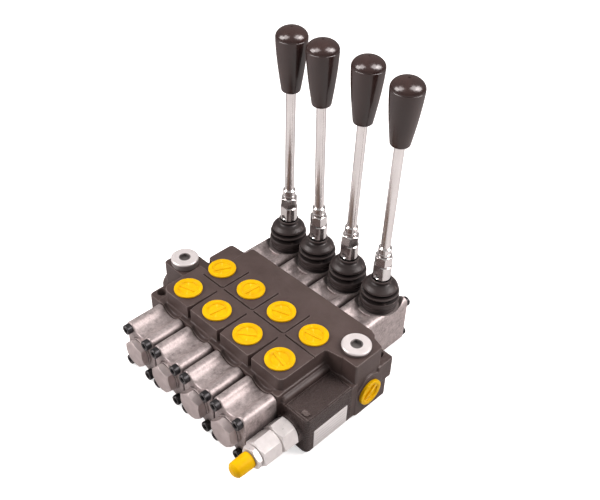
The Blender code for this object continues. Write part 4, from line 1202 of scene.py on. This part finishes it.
# ---- blank label plate on the relief block's right side --------------------------------
plate = mesh_object("label_plate", slab(
    [(-26.5, 4.0, 0.8), (9.8, 4.0, 0.8), (9.8, 23.2, 0.8), (-26.5, 23.2, 0.8)],
    99.4, 100.0, "X", steps=4))
bevelled(plate, 0.12, 2, 40)
smooth_shaded(plate, 30)
dressed(plate, LABEL, ROOT, "die_cast_metal")


# ---- CAD nodes that stay as they are get finished surfaces -----------------------------
KEPT = {"relief_poppet": STEEL, "relief_adjusting_screw": OXIDE}
KEPT.update({f"spool_{i}": STEEL for i in (1, 2, 3, 4)})
for name, material in KEPT.items():
    slots = frame["nodes"][name].data.materials
    slots.clear()
    slots.append(material)


# ---- studio ----------------------------------------------------------------------------
FLOOR_SPAN = (-6000, 6000)
LAMP_TINT = (1.0, 0.93, 0.92)

floor = mesh_object("studio_floor", box(FLOOR_SPAN, FLOOR_SPAN, (-2, -0.05)))
floor.data.materials.append(studio_floor())


def softbox(name, azimuth, elevation, distance, target, size, power):
    """Area lamp aimed at target; azimuth runs from the front (-Y) towards +X, in degrees."""
    light = bpy.data.lights.new(name, "AREA")
    light.shape = "RECTANGLE"
    light.size, light.size_y = size
    light.energy = power
    light.color = LAMP_TINT
    obj = bpy.data.objects.new(name, light)
    bpy.context.scene.collection.objects.link(obj)
    turn, tilt = math.radians(azimuth), math.radians(elevation)
    place = (distance * math.sin(turn) * math.cos(tilt),
             -distance * math.cos(turn) * math.cos(tilt), distance * math.sin(tilt) + 0.08)
    obj.location = place
    obj.rotation_euler = (Vector(target) - Vector(place)).to_track_quat("-Z", "Y").to_euler()
    return obj


softbox("softbox_left", azimuth=-40, elevation=33, distance=1.05, target=(0, 0.02, 0.10),
        size=(0.55, 0.50), power=9.0)
softbox("softbox_right", azimuth=130, elevation=40, distance=1.05, target=(0, 0.02, 0.10),
        size=(0.50, 0.50), power=8.5)
# the lamp overhead only fills in; the side lamps and a small pair for the knobs give the gloss
fill_lamp = softbox("softbox_top", azimuth=215, elevation=62, distance=1.30,
                    target=(0, 0.02, 0.06), size=(0.9, 0.6), power=6.4)
fill_lamp.visible_glossy = False
knobs = bpy.data.collections.new("knobs_in_gloss")
for number in (1, 2, 3, 4):
    knobs.objects.link(bpy.data.objects[f"lever_{number}_knob"])
for name, azimuth in (("gloss_left", -20), ("gloss_right", 116)):
    lamp = softbox(name, azimuth=azimuth, elevation=57, distance=0.95, target=(0, 0.05, 0.20),
                   size=(0.46, 0.50), power=5.8)
    lamp.light_linking.receiver_collection = knobs

scene = bpy.context.scene
scene.view_settings.view_transform = "Standard"
world = bpy.data.worlds.new("studio_world")
scene.world = world
world.use_nodes = True
sky = Nodes(world.node_tree, "Generated")
# as pale as the floor to the camera, a dim lamp to everything else
sky.fill(world.node_tree.nodes["Background"],
         Color=sky.tones(sky.part("Z"), dark=(0.60, 0.56, 0.55), light=(0.95, 0.91, 0.90),
                         start=0.0, end=0.75),
         Strength=sky.remap(sky.ray("Camera"), source=(0.0, 1.0), target=(0.38, 1.8)))

# ---- camera, to the front right and above ----------------------------------------------
CAMERA_PLACE = (0.34847, -0.30672, 0.50038)
azimuth, elevation, roll = (math.radians(angle) for angle in (43.885, 39.195, 1.992))

camera = bpy.data.objects.new("studio_camera", bpy.data.cameras.new("studio_camera"))
scene.collection.objects.link(camera)
camera.data.lens = 48.22
camera.data.sensor_width = 36.0
camera.data.clip_start = 0.01
backward = Vector((math.sin(azimuth) * math.cos(elevation),
                   -math.cos(azimuth) * math.cos(elevation), math.sin(elevation)))
level = (-backward).cross(Vector((0, 0, 1))).normalized()
lift = level.cross(-backward)
right = level * math.cos(roll) + lift * math.sin(roll)
upward = -level * math.sin(roll) + lift * math.cos(roll)
spin = Matrix((right, upward, backward)).transposed().to_4x4()
camera.matrix_world = Matrix.Translation(CAMERA_PLACE) @ spin
scene.camera = camera
